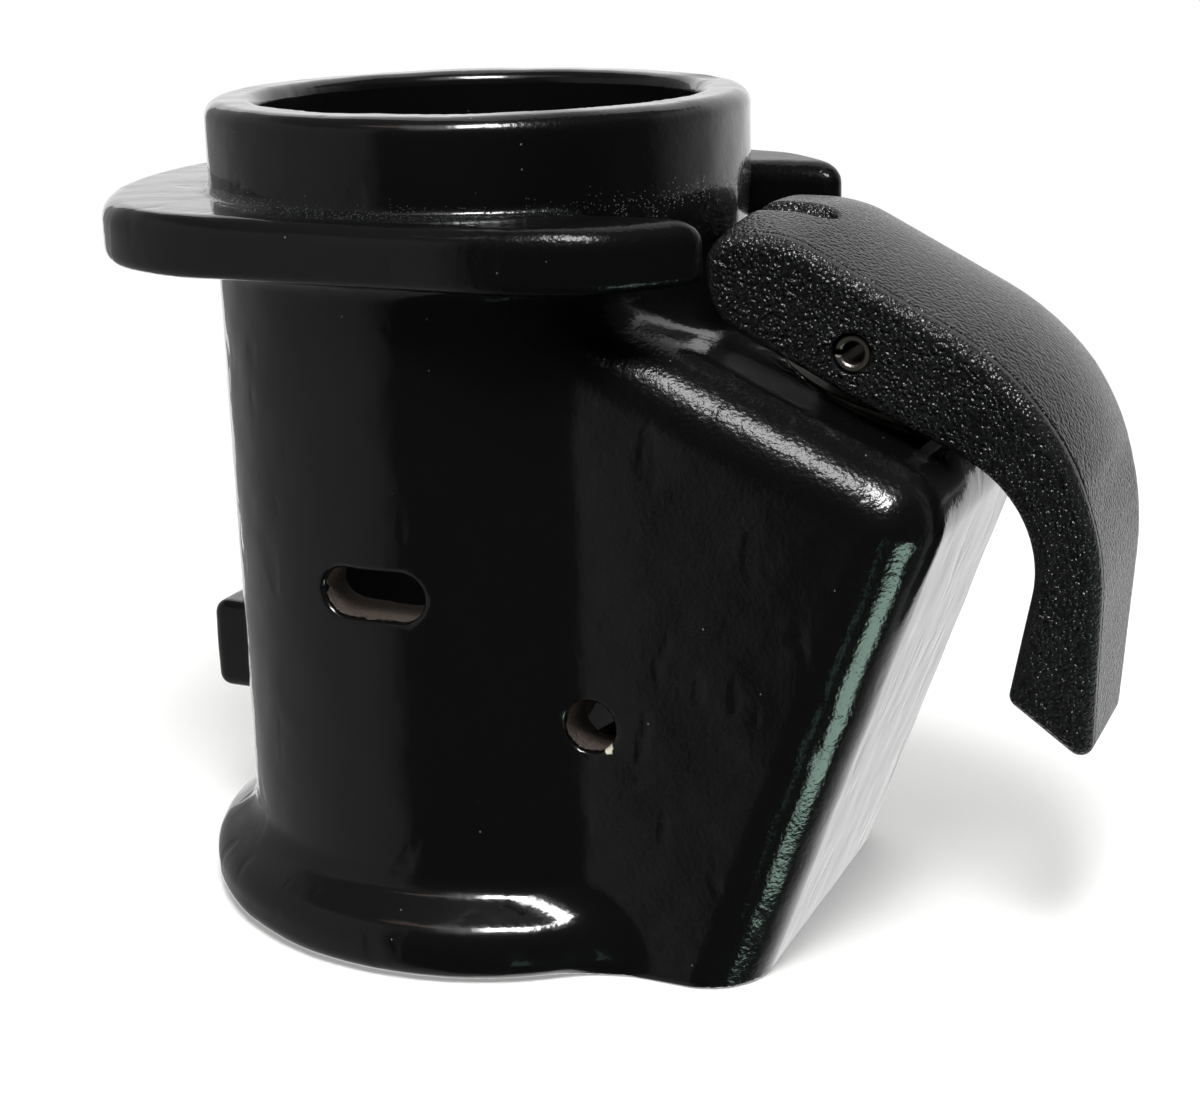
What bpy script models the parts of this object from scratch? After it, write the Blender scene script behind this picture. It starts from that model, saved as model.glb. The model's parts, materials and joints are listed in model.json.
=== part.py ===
# Gooseneck coupler for a 2 5/16 in ball: a casting with a ball socket, a lock block that slides
# in a sloping housing, its stem and spring, and a pinned lever that draws the block up.
# Lengths are in metres, +Z is up and +X points at the lever. Each piece is modelled about the
# socket's upright axis, about the stem, or about the lever's pin, and its parent empty places it.

import math

import bmesh
import bpy

for item in list(bpy.data.objects):
    bpy.data.objects.remove(item, do_unlink=True)

mm = 0.001
gap = 0.3 * mm                       # between pieces that touch or are cut for each other

# Ball and socket
ball_radius = 29.37 * mm
socket_clearance = 0.6 * mm
ball_height = 30.0 * mm              # the ball's centre above the bottom face
mouth_depth = 16.5 * mm              # height of the lead-in cone

# Round body, lip and top ring; the ring pilots inside a 4 in pipe with an inside width of 4.026 in
ring_radius = 50.8 * mm
ring_wall = 9.525 * mm
ring_height = 16.4 * mm
body_step = 0.8 * mm                 # how far the body stands in from the ring
lip_overhang = 8.6 * mm
lip_land = 12.6 * mm                 # width of the bottom face around the mouth
lip_round = 4.6 * mm
lip_height = 17.4 * mm               # top of the lip's round shoulder
ring_root = 1.5 * mm
rim_round = 2.2 * mm
rim_chamfer = 1.7 * mm
pocket_floor = 66.0 * mm
floor_fillet = 5.0 * mm
body_facets = 48
washer_facets = 40                   # of the cam washer and its seat

# Flange
flange_reach = 19.7 * mm             # of its round edge beyond the ring
flat_reach = 7.7 * mm                # of its two flats beyond the ring
flange_bottom = 127.6 * mm
flange_thickness = 11.1 * mm
flange_top_round = 4.0 * mm
flange_bottom_round = 2.4 * mm
flange_corner = 9.0 * mm
flange_root = 4.0 * mm
ear_corner = 5.0 * mm
slot_half_width = 35.0 * mm
corner_room = 1.4                    # the rim's facets start this many corner lengths from a corner
collar_skin = 0.1 * mm

# Sloping housing
slide_tilt = math.radians(19.3)      # of the slide and the back wall, from the vertical
top_slope = math.radians(24.1)       # of the top face, from the horizontal
housing_reach = 18.3 * mm            # of the back wall's foot beyond the round body
housing_height = 94.0 * mm           # where the back wall meets the top face
housing_half_width = 41.0 * mm
housing_round = 9.0 * mm
housing_corner = 9.5 * mm            # under the lever, a little more than the side edges
side_wall = 10.0 * mm
back_wall = 8.0 * mm
top_wall = 12.0 * mm

# Holes in the casting
window_height = 71.0 * mm
window_length = 20.0 * mm
window_width = 9.0 * mm
pin_hole_inside = 30.2 * mm          # of its axis from the back wall's foot
pin_hole_z = 48.0 * mm
pin_hole_radius = 4.75 * mm
pin_over_block = 0.5 * mm            # a safety pin passes this far above the block's shoulder
boss_height = 42.5 * mm
boss_size = 19.0 * mm
boss_half_width = 13.5 * mm
boss_reach = 9.5 * mm                # of its face beyond the body
boss_corner = 3.0 * mm
boss_round = 2.7 * mm
port_radius = 3.0 * mm
plug_radius = 4.9 * mm
plug_length = 8.5 * mm
plug_recess = 0.6 * mm
plug_key = 2.9 * mm                  # its hexagon, centre to corner
plug_key_depth = 4.5 * mm
plug_edge = 0.5 * mm

# Stem, block and spring
stem_to_back = 26.7 * mm             # from the stem's axis to the back wall's outer face
pivot_rise = 10.4 * mm               # of the lever's pin above the housing's top face
lift = 21.5 * mm                     # stroke of the block
swing = math.radians(85.0)           # of the lever
stem_radius = 7.0 * mm
stud_radius = 6.0 * mm
block_to_ball = 22.0 * mm            # from the ball's centre to the block's front face
seat_wall = 1.5 * mm                 # between the spring's seat and the block's sloping shoulder
block_foot = 7.0 * mm                # its underside above the bottom face
block_round = 3.0 * mm
block_corner = 3.1 * mm              # a little more than the rounding of its side edges
chamber_round = 2.5 * mm
chamber_corner = 2.6 * mm
groove_clearance = 0.5 * mm
sliding_gap = 0.4 * mm               # between block and chamber
stroke_gap = 1.0 * mm                # left above the block at full lift
spring_radius = 11.1 * mm
wire_radius = 1.4 * mm
spring_coils = 8
spring_seat_radius = 13.2 * mm
spring_seat_depth = 2.0 * mm
washer_radius = 12.8 * mm
washer_thickness = 1.6 * mm
bush_radius = 10.0 * mm
bush_flange_radius = 13.0 * mm
bush_flange_thickness = 2.5 * mm
wiper_radius = 11.0 * mm
wiper_thickness = 2.8 * mm
cam_washer_radius = 17.0 * mm
cam_washer_thickness = 2.4 * mm
spot_depth = 2.1 * mm                # of the cam washer's seat under the top face
nut_flats = 18.0 * mm
nut_thickness = 7.0 * mm
nut_pocket_radius = 13.2 * mm
nut_pocket_depth = 13.0 * mm
nut_chamfer = 0.8 * mm
stud_chamfer = 1.0 * mm

# Lever: the corners of its side view as measured from its pin, and how far each is rounded
nose_reach = 26.2 * mm
nose_flat = 14.2 * mm                # level run of its top, behind the nose
nose_top = 18.8 * mm
nose_foot = 4.9 * mm
knee_x = 43.8 * mm
knee_z = -9.7 * mm
inner_knee_x = 34.0 * mm
inner_knee_z = -24.6 * mm
tip_x = 41.4 * mm
tip_z = -75.8 * mm
tip_thickness = 15.0 * mm
tip_cut = 12.6 * mm                  # how far the tip's inner corner stands above its outer one
nose_round = 5.0 * mm
nose_foot_round = 9.0 * mm
crown_round = 20.0 * mm
back_round = 50.0 * mm
inner_round = 22.0 * mm
tip_round = 2.5 * mm
lever_half_width = 24.0 * mm
tip_half_width = 15.0 * mm
taper_start = 8.0 * mm               # below the pin
lever_edge = 2.4 * mm
lever_wall = 3.6 * mm
lever_rib = 3.0 * mm
lever_cells = 4
slot_clearance = 0.6 * mm            # beside the stem in the lever's slot
roll_pin_radius = 3.25 * mm
roll_pin_wall = 1.2 * mm
roll_pin_slit = 1.0 * mm
roll_pin_recess = 1.0 * mm

# Edges of washers and pins, how far cutters run past the face that they open, and how near two
# cuts may meet before they are closed up
broken_edge = 0.3 * mm
overcut = 1.0 * mm
stray_edge = 0.01 * mm

# Levels and widths of the casting
body_radius = ring_radius - body_step
ring_bore = ring_radius - ring_wall
lip_radius = body_radius + lip_overhang
mouth_radius = lip_radius - lip_land
flange_radius = ring_radius + flange_reach
flange_flat = ring_radius + flat_reach
boss_face = body_radius + boss_reach
body_middle = (body_radius + ring_bore) / 2
housing_foot = body_radius + housing_reach
pin_hole_x = housing_foot - pin_hole_inside
flange_top = flange_bottom + flange_thickness
total_height = flange_top + ring_height
socket_radius = ball_radius + socket_clearance

# The stem's axis runs along the back wall; its point and the pin's are in the socket's XZ plane
sin_tilt = math.sin(slide_tilt)
cos_tilt = math.cos(slide_tilt)
housing_back_x = housing_foot + housing_height * math.tan(slide_tilt)
stem_foot_x = housing_foot - stem_to_back / cos_tilt
stem_to_top = (housing_height + (housing_back_x - stem_foot_x) * math.tan(top_slope)) / (
    cos_tilt + sin_tilt * math.tan(top_slope))
top_face_down = pivot_rise / math.cos(top_slope - slide_tilt)
pin_x = stem_foot_x + (stem_to_top + top_face_down) * sin_tilt
pin_z = (stem_to_top + top_face_down) * cos_tilt


def to_slide(x, z):
    """A point of the side view as (across, along) the stem: back from its axis, up from the pin."""
    back = x - pin_x
    up = z - pin_z
    return back * cos_tilt - up * sin_tilt, back * sin_tilt + up * cos_tilt


def along_at(across, z):
    """Where the line at this distance from the stem's axis crosses a level z."""
    return (z - pin_z + across * sin_tilt) / cos_tilt


# Places along the stem, measured from the pin and negative below it
seat_along = -top_face_down - spot_depth
wiper_along = seat_along - gap - wiper_thickness
bush_along = wiper_along - gap
ceiling_along = -top_face_down - top_wall / math.cos(top_slope - slide_tilt)
bush_flange_along = ceiling_along - gap - bush_flange_thickness
washer_along = bush_flange_along - gap - washer_thickness
hole_across, hole_along = to_slide(pin_hole_x, pin_hole_z)
shoulder_along = hole_along - pin_hole_radius - pin_over_block
spring_seat_along = shoulder_along - spring_seat_depth
nut_seat_along = along_at(0, block_foot) + nut_pocket_depth
ball_across = to_slide(0, ball_height)[0]
block_front = -ball_across - block_to_ball
block_step = block_front - spring_seat_radius - seat_wall
block_back = stem_to_back - back_wall - sliding_gap
chamber_half_width = housing_half_width - side_wall
block_half_width = chamber_half_width - sliding_gap


def arc(across, up, radius, start, end, count):
    """Points of an arc about (across, up), between two angles in degrees, both ends included."""
    angles = [math.radians(start + (end - start) * i / count) for i in range(count + 1)]
    return [(across + radius * math.cos(a), up + radius * math.sin(a)) for a in angles]


def rounded(corners, facet=12.0):
    """A closed outline with each corner (a, b, radius) turned into an arc of short facets."""
    points = []
    for i, (a, b, radius) in enumerate(corners):
        before = corners[i - 1]
        after = corners[(i + 1) % len(corners)]
        to_before = math.atan2(before[1] - b, before[0] - a)
        to_after = math.atan2(after[1] - b, after[0] - a)
        opening = (to_after - to_before + math.pi) % math.tau - math.pi
        if radius == 0 or abs(abs(opening) - math.pi) < 0.01:
            points.append((a, b))
            continue
        middle = to_before + opening / 2
        reach = radius / math.sin(abs(opening) / 2)
        centre_a = a + reach * math.cos(middle)
        centre_b = b + reach * math.sin(middle)
        turn = math.pi - abs(opening)
        count = max(2, round(math.degrees(turn) / facet))
        side = math.copysign(1.0, opening)
        for step in range(count + 1):
            angle = middle + math.pi + side * turn * (0.5 - step / count)
            points.append((centre_a + radius * math.cos(angle), centre_b + radius * math.sin(angle)))
    return points


def circle(radius, facets, turn=0.0):
    """Points of a circle about the origin."""
    angles = [turn + math.tau * i / facets for i in range(facets)]
    return [(radius * math.cos(a), radius * math.sin(a)) for a in angles]


def inset(outline, distance):
    """The outline moved inwards by a distance, with mitred corners."""
    area = sum(p[0] * q[1] - q[0] * p[1] for p, q in zip(outline, outline[1:] + outline[:1]))
    side = math.copysign(1.0, area)
    moved = []
    for i, (a, b) in enumerate(outline):
        before = outline[i - 1]
        after = outline[(i + 1) % len(outline)]
        first = (a - before[0], b - before[1])
        second = (after[0] - a, after[1] - b)
        first_length = math.hypot(*first)
        second_length = math.hypot(*second)
        n1 = (-first[1] / first_length * side, first[0] / first_length * side)
        n2 = (-second[1] / second_length * side, second[0] / second_length * side)
        share = distance / (1.0 + n1[0] * n2[0] + n1[1] * n2[1])
        moved.append((a + (n1[0] + n2[0]) * share, b + (n1[1] + n2[1]) * share))
    return moved


def levels(low, high, low_round=0.0, high_round=0.0, count=4):
    """Levels of a slab with rounded rims, each with the inset of its outline."""
    result = []
    for i in range(count + 1 if low_round else 1):
        angle = math.pi / 2 * i / count
        result.append((low + low_round * (1 - math.cos(angle)), low_round * (1 - math.sin(angle))))
    for i in range(count + 1 if high_round else 1):
        angle = math.pi / 2 * i / count
        result.append((high - high_round * (1 - math.sin(angle)), high_round * (1 - math.cos(angle))))
    return result


def finish(bm, name, parent, material=None, smooth=40.0):
    """Turn the shape into an object under its parent; one with no material is a cutter or a tool."""
    bmesh.ops.remove_doubles(bm, verts=bm.verts, dist=1e-6)
    bmesh.ops.recalc_face_normals(bm, faces=bm.faces)
    mesh = bpy.data.meshes.new(name)
    bm.to_mesh(mesh)
    bm.free()
    mesh.shade_smooth()
    mesh.set_sharp_from_angle(angle=math.radians(smooth))
    item = bpy.data.objects.new(name, mesh)
    bpy.context.collection.objects.link(item)
    item.parent = parent
    if material:
        mesh.materials.append(material)
    else:
        item.hide_render = True
        item.display_type = 'WIRE'
    return item


def slab(name, parent, outline, rim_levels, axis, material=None, stretch=None):
    """A solid of one outline, inset level by level, stacked along X, Y or Z."""
    bm = bmesh.new()
    rings = []
    for level, distance in rim_levels:
        points = inset(outline, distance) if distance else outline
        if axis == 'X':
            places = [(level, a, b) for a, b in points]
        elif axis == 'Y':
            places = [(a, level, b) for a, b in points]
        else:
            places = [(a, b, level) for a, b in points]
        rings.append([bm.verts.new(stretch(place) if stretch else place) for place in places])
    for low, high in zip(rings, rings[1:]):
        for i in range(len(low)):
            j = (i + 1) % len(low)
            bm.faces.new((low[i], low[j], high[j], high[i]))
    bm.faces.new(rings[0])
    bm.faces.new(rings[-1])
    return finish(bm, name, parent, material)


def turned(name, parent, profile, facets, material=None, closed=False):
    """A solid turned about Z from points (radius, height)."""
    bm = bmesh.new()
    verts = [bm.verts.new((radius, 0.0, height)) for radius, height in profile]
    pairs = list(zip(verts, verts[1:]))
    if closed:
        pairs.append((verts[-1], verts[0]))
    edges = [bm.edges.new(pair) for pair in pairs]
    bmesh.ops.spin(bm, geom=verts + edges, cent=(0, 0, 0), axis=(0, 0, 1), angle=math.tau, steps=facets)
    return finish(bm, name, parent, material)


def sleeve(name, parent, inner, outer, low, high, material, facets=32, edge=broken_edge):
    """A washer or bush about Z, with its outer edges broken."""
    profile = [(inner, low), (outer - edge, low), (outer, low + edge),
               (outer, high - edge), (outer - edge, high), (inner, high)]
    return turned(name, parent, profile, facets, material, closed=True)


def combine(target, tool, operation, solver='EXACT'):
    """Join a tool to a piece, or cut it away."""
    change = target.modifiers.new(tool.name, 'BOOLEAN')
    change.operation = operation
    change.solver = solver
    change.object = tool


def finish_of(name, colour, roughness, metallic=0.0):
    """A plain material for the construction model."""
    material = bpy.data.materials.new(name)
    material.use_nodes = True
    shader = material.node_tree.nodes['Principled BSDF']
    shader.inputs['Base Color'].default_value = (*colour, 1.0)
    shader.inputs['Roughness'].default_value = roughness
    shader.inputs['Metallic'].default_value = metallic
    return material


def empty(name, parent, place, tilt=0.0):
    item = bpy.data.objects.new(name, None)
    bpy.context.collection.objects.link(item)
    item.parent = parent
    item.location = place
    item.rotation_euler = (0.0, tilt, 0.0)
    return item


black_enamel = finish_of('black_enamel', (0.012, 0.012, 0.013), 0.22)
black_nylon = finish_of('black_nylon', (0.03, 0.03, 0.032), 0.55)
plain_steel = finish_of('plain_steel', (0.36, 0.35, 0.34), 0.38, 1.0)
zinc_steel = finish_of('zinc_steel', (0.62, 0.61, 0.58), 0.32, 1.0)
spring_steel = finish_of('spring_steel', (0.16, 0.16, 0.17), 0.4, 1.0)
natural_nylon = finish_of('natural_nylon', (0.7, 0.67, 0.58), 0.5)
soft_rubber = finish_of('soft_rubber', (0.02, 0.02, 0.02), 0.75)

lever_outline = rounded([
    (-nose_reach, nose_top, nose_round),
    (nose_flat - nose_reach, nose_top, crown_round),
    (knee_x, knee_z, back_round),
    (tip_x, tip_z, tip_round),
    (tip_x - tip_thickness, tip_z + tip_cut, tip_round),
    (inner_knee_x, inner_knee_z, inner_round),
    (-nose_reach, nose_foot, nose_foot_round),
], facet=8.0)
lever_reach = max(x for x, z in lever_outline)

# The origin lies under the middle of the whole coupler, so the socket's axis stands off it
coupler = empty('coupler', None, ((flange_radius - pin_x - lever_reach) / 2, 0.0, 0.0))
stem_line = empty('stem_line', coupler, (pin_x, 0.0, pin_z), slide_tilt)
plunger = empty('plunger', coupler, (pin_x, 0.0, pin_z), slide_tilt)
lever_pivot = empty('lever_pivot', plunger, (0.0, 0.0, 0.0), -slide_tilt)


def lip_profile():
    """The bell lip, from under its edge up to the straight wall."""
    rise = lip_height - lip_round
    used = 0.92                          # of the quarter ellipse, which then turns into the wall
    points = arc(lip_radius - lip_round, lip_round, lip_round, -90, 0, 3)
    for i in range(1, 7):
        share = used * i / 6
        points.append((body_radius + lip_overhang * math.sqrt(1 - share ** 2), lip_round + rise * share))
    lean = math.atan(lip_overhang / rise * used / math.sqrt(1 - used ** 2))
    end_radius, end_height = points[-1]
    blend = (end_radius - body_radius) / (1 - math.cos(lean))
    blend_top = end_height + blend * math.sin(lean)
    for i in range(1, 4):
        angle = lean * (1 - i / 3)
        points.append((body_radius + blend * (1 - math.cos(angle)), blend_top - blend * math.sin(angle)))
    return points


def body_profile():
    """Half the section of the turned body: dome, mouth, lip, wall, ring and pocket."""
    root = flange_bottom - flange_root
    profile = arc(0, ball_height, socket_radius, 90, 0, 8)
    profile += [(socket_radius, mouth_depth), (mouth_radius, 0.0), (mouth_radius + overcut, -overcut)]
    profile += [(lip_radius - lip_round, -overcut)]
    profile += lip_profile()
    profile += arc(body_radius + flange_root, root, flange_root, 180, 90, 3)
    profile += [(body_radius + flange_root, flange_bottom + flange_thickness / 2)]
    profile += arc(ring_radius + ring_root, flange_top + ring_root, ring_root, 270, 180, 2)
    profile += arc(ring_radius - rim_round, total_height - rim_round, rim_round, 0, 90, 3)
    profile += [(ring_bore + rim_chamfer, total_height), (ring_bore, total_height - rim_chamfer)]
    profile += arc(ring_bore - floor_fillet, pocket_floor + floor_fillet, floor_fillet, 0, -90, 3)
    profile += [(0.0, pocket_floor)]
    return profile


def flange_outline():
    """A round plate with two flats, slotted on the lever's side, in plan."""
    ear = math.degrees(math.asin(slot_half_width / flange_radius))
    flat = math.degrees(math.asin(flange_flat / flange_radius))
    ear_x = flange_radius * math.cos(math.radians(ear))
    flat_x = flange_radius * math.cos(math.radians(flat))
    slot_x = slot_half_width - ear_corner
    ear_turn = math.tan(math.radians(45 + ear / 2)) * ear_corner / flange_radius
    flat_turn = math.tan(math.radians(45 - flat / 2)) * flange_corner / flange_radius
    start = ear + corner_room * math.degrees(ear_turn)
    end = flat - corner_room * math.degrees(flat_turn)
    half = [(slot_x, slot_half_width, 0.0), (ear_x, slot_half_width, ear_corner)]
    half += [(x, y, 0.0) for x, y in arc(0, 0, flange_radius, start, end, 3)]
    half += [(flat_x, flange_flat, flange_corner), (-flat_x, flange_flat, flange_corner)]
    half += [(x, y, 0.0) for x, y in arc(0, 0, flange_radius, 180 - end, 180, 10)]
    other = [(x, -y, radius) for x, y, radius in reversed(half[:-1])]
    return rounded(half + other)


def chamber_outline():
    """Side view of the block's chamber, as (across, along) the stem; it is open at the bottom."""
    front = -block_front - sliding_gap
    step = front + block_step
    back = block_back + sliding_gap
    roof = shoulder_along + lift + stroke_gap
    return rounded([
        (front, along_at(front, -overcut), 0.0),
        (back, along_at(back, -overcut), 0.0),
        (back, ceiling_along, chamber_corner),
        (step, ceiling_along, chamber_corner),
        (step, roof, chamber_corner),
        (front, roof - block_step, chamber_corner),
    ])


def block_outline():
    """Side view of the lock block, as (across, along) the stem."""
    front = -block_front
    return rounded([
        (front, along_at(front, block_foot), block_corner),
        (block_back, along_at(block_back, block_foot), block_corner),
        (block_back, shoulder_along, block_corner),
        (front + block_step, shoulder_along, block_corner),
        (front, shoulder_along - block_step, block_corner),
    ])


def upright(name, parent, radius, low, high, facets=32):
    """A round cutter along Z."""
    return slab(name, parent, circle(radius, facets), levels(low, high), 'Z')


def make_casting():
    """The casting is joined and cut by the manifold solver: the exact one leaves open edges where
    the chamber's rounded corners run out through the mouth's cone."""
    casting = turned('body_casting', coupler, body_profile(), body_facets, black_enamel)

    flange = slab('flange_plate', coupler, flange_outline(),
                  levels(flange_bottom, flange_top, flange_bottom_round, flange_top_round), 'Z')
    combine(flange, upright('flange_hole', coupler, body_middle, flange_bottom - overcut,
                            flange_top + overcut, body_facets), 'DIFFERENCE', 'MANIFOLD')
    combine(casting, flange, 'UNION', 'MANIFOLD')

    # In the flange's slot the wall is bare but for a thin skin of the fillets round it
    root = flange_bottom - flange_root
    collar = turned('collar_cut', coupler, [
        (body_radius + collar_skin, root), (body_radius + collar_skin, flange_bottom),
        (ring_radius + collar_skin, flange_top), (ring_radius + collar_skin, flange_top + ring_root),
        (flange_radius, flange_top + ring_root), (flange_radius, root),
    ], body_facets, closed=True)
    slot = [(0.0, -slot_half_width), (flange_radius, -slot_half_width),
            (flange_radius, slot_half_width), (0.0, slot_half_width)]
    combine(collar, slab('collar_slot', coupler, slot, levels(root - overcut, total_height), 'Z'),
            'INTERSECT')
    combine(casting, collar, 'DIFFERENCE', 'MANIFOLD')

    # The housing runs in to the socket's axis and is hollowed back to the middle of the body's wall
    below = -2 * housing_round
    housing = slab('housing_box', coupler, rounded([
        (0.0, below, 0.0),
        (housing_foot + below * math.tan(slide_tilt), below, 0.0),
        (housing_back_x, housing_height, housing_corner),
        (0.0, housing_height + housing_back_x * math.tan(top_slope), 0.0),
    ]), levels(-housing_half_width, housing_half_width, housing_round, housing_round), 'Y')
    combine(housing, upright('housing_hollow', coupler, body_middle, 2 * below, 2 * total_height,
                             body_facets), 'DIFFERENCE')
    combine(casting, housing, 'UNION', 'MANIFOLD')

    low_edge = boss_height - boss_size / 2
    high_edge = boss_height + boss_size / 2
    boss = slab('port_boss', coupler, rounded([
        (-boss_half_width, low_edge, boss_corner), (boss_half_width, low_edge, boss_corner),
        (boss_half_width, high_edge, boss_corner), (-boss_half_width, high_edge, boss_corner),
    ]), levels(-boss_face, -body_middle, boss_round, 0.0, 3), 'X')
    combine(casting, boss, 'UNION', 'MANIFOLD')

    deep = -boss_face + plug_recess + plug_length + gap
    into_socket = -math.sqrt(socket_radius ** 2 - (boss_height - ball_height) ** 2) + 2 * port_radius
    for name, radius, end in (('port', port_radius, into_socket), ('plug_hole', plug_radius + gap, deep)):
        outline = [(a, boss_height + b) for a, b in circle(radius, 24)]
        cutter = slab(name, coupler, outline, levels(-boss_face - overcut, end), 'X')
        combine(casting, cutter, 'DIFFERENCE', 'MANIFOLD')

    span = 2 * housing_back_x
    floor = slab('floor_cut', coupler, [(-span, -span), (span, -span), (span, span), (-span, span)],
                 levels(-span, 0.0), 'Z')
    combine(casting, floor, 'DIFFERENCE', 'MANIFOLD')
    chamber = slab('chamber', stem_line, chamber_outline(),
                   levels(-chamber_half_width, chamber_half_width, chamber_round, chamber_round, 3), 'Y')
    combine(casting, chamber, 'DIFFERENCE', 'MANIFOLD')

    centre = (window_length - window_width) / 2
    outline = arc(centre, window_height, window_width / 2, -90, 90, 10)
    outline += arc(-centre, window_height, window_width / 2, 90, 270, 10)
    window = slab('windows', coupler, outline, levels(-lip_radius, lip_radius), 'Y')
    combine(casting, window, 'DIFFERENCE', 'MANIFOLD')
    side = housing_half_width + overcut
    pin_hole = slab('pin_hole', coupler,
                    [(pin_hole_x + a, pin_hole_z + b) for a, b in circle(pin_hole_radius, 24)],
                    levels(-side, side), 'Y')
    combine(casting, pin_hole, 'DIFFERENCE', 'MANIFOLD')

    clear_along = cam_washer_radius - top_face_down
    bush_hole = upright('bush_hole', stem_line, bush_radius + gap / 2, ceiling_along - overcut, clear_along)
    wiper_seat = upright('wiper_seat', stem_line, wiper_radius + gap, wiper_along - gap, clear_along)
    washer_seat = upright('washer_seat', stem_line, cam_washer_radius + gap, seat_along, clear_along,
                          washer_facets)
    for cutter in (bush_hole, wiper_seat, washer_seat):
        combine(casting, cutter, 'DIFFERENCE', 'MANIFOLD')
    close_up = casting.modifiers.new('close_up', 'WELD')
    close_up.merge_threshold = stray_edge


def make_plug():
    outer = -boss_face + plug_recess
    outline = [(a, boss_height + b) for a, b in circle(plug_radius, 24)]
    plug = slab('grease_plug', coupler, outline,
                levels(outer, outer + plug_length, plug_edge, plug_edge, 1), 'X', zinc_steel)
    key = [(a, boss_height + b) for a, b in circle(plug_key, 6)]
    combine(plug, slab('plug_key', coupler, key, levels(outer - overcut, outer + plug_key_depth), 'X'),
            'DIFFERENCE')


def make_block():
    block = slab('lock_block', plunger, block_outline(),
                 levels(-block_half_width, block_half_width, block_round, block_round, 3), 'Y', plain_steel)
    low = along_at(-block_front, -overcut)
    high = shoulder_along + overcut
    groove = upright('ball_groove', plunger, ball_radius + groove_clearance, low, high, body_facets)
    groove.location = (ball_across, 0.0, 0.0)
    combine(block, groove, 'DIFFERENCE')
    combine(block, upright('stud_hole', plunger, stud_radius + gap, low, high), 'DIFFERENCE')
    combine(block, upright('spring_seat', plunger, spring_seat_radius, spring_seat_along, high),
            'DIFFERENCE')
    combine(block, upright('nut_pocket', plunger, nut_pocket_radius, low, nut_seat_along), 'DIFFERENCE')


def make_stem():
    stud_end = nut_seat_along - washer_thickness - nut_thickness - 2 * gap - stud_chamfer
    shoulder = spring_seat_along + gap
    profile = arc(0, 0, stem_radius, 90, 0, 6)
    profile += [(stem_radius, shoulder), (stud_radius, shoulder), (stud_radius, stud_end + stud_chamfer),
                (stud_radius - stud_chamfer, stud_end), (0.0, stud_end)]
    stem = turned('lock_stem', plunger, profile, 32, zinc_steel)
    eye = slab('stem_eye', plunger, circle(roll_pin_radius + gap, 24),
               levels(-2 * stem_radius, 2 * stem_radius), 'Y')
    combine(stem, eye, 'DIFFERENCE')

    washer_top = nut_seat_along - gap
    sleeve('stem_washer', plunger, stud_radius + gap, washer_radius - gap, washer_top - washer_thickness,
           washer_top, zinc_steel)
    nut_top = washer_top - washer_thickness - gap
    nut = slab('stem_nut', plunger, circle(nut_flats / math.sqrt(3), 6),
               levels(nut_top - nut_thickness, nut_top, nut_chamfer, 0.0, 2), 'Z', zinc_steel)
    combine(nut, upright('nut_hole', plunger, stud_radius + gap, nut_top - 2 * nut_thickness,
                         nut_top + overcut), 'DIFFERENCE')


def make_guides():
    """The pieces that line the stem's hole in the housing, all about the stem."""
    inner = stem_radius + gap
    sleeve('stem_wiper', stem_line, inner, wiper_radius, wiper_along, wiper_along + wiper_thickness,
           soft_rubber)
    sleeve('cam_washer', stem_line, inner + gap, cam_washer_radius, seat_along + gap,
           seat_along + gap + cam_washer_thickness, zinc_steel, washer_facets)
    profile = [(inner, bush_flange_along), (bush_flange_radius, bush_flange_along),
               (bush_flange_radius, bush_flange_along + bush_flange_thickness),
               (bush_radius - gap / 2, bush_flange_along + bush_flange_thickness),
               (bush_radius - gap / 2, bush_along), (inner, bush_along)]
    turned('stem_bush', stem_line, profile, 32, natural_nylon, closed=True)
    sleeve('spring_washer', stem_line, inner, washer_radius, washer_along, washer_along + washer_thickness,
           zinc_steel)


def make_spring():
    """A compression spring with a closed turn at each end."""
    low = spring_seat_along + gap + wire_radius
    high = washer_along - gap - wire_radius
    closed_pitch = 2.05 * wire_radius
    open_pitch = (high - low - 2 * closed_pitch) / (spring_coils - 2)
    turn_steps = 18
    ring_facets = 6
    bm = bmesh.new()
    rings = []
    for i in range(spring_coils * turn_steps + 1):
        turns = i / turn_steps
        lower = min(turns, 1.0)
        upper = max(turns - spring_coils + 1, 0.0)
        height = low + (lower + upper) * closed_pitch + (turns - lower - upper) * open_pitch
        angle = math.tau * turns
        ring = []
        for k in range(ring_facets):
            around = math.tau * k / ring_facets
            radius = spring_radius + wire_radius * math.cos(around)
            ring.append(bm.verts.new((radius * math.cos(angle), radius * math.sin(angle),
                                      height + wire_radius * math.sin(around))))
        rings.append(ring)
    for low_ring, high_ring in zip(rings, rings[1:]):
        for k in range(ring_facets):
            j = (k + 1) % ring_facets
            bm.faces.new((low_ring[k], low_ring[j], high_ring[j], high_ring[k]))
    bm.faces.new(rings[0])
    bm.faces.new(rings[-1])
    finish(bm, 'lock_spring', plunger, spring_steel, smooth=60.0)


def tapered(place):
    """Draw the lever's sides in towards its tip."""
    x, y, z = place
    share = min(max((-taper_start - z) / (-taper_start - tip_z), 0.0), 1.0)
    return x, y * (1.0 - share * (1.0 - tip_half_width / lever_half_width)), z


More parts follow.
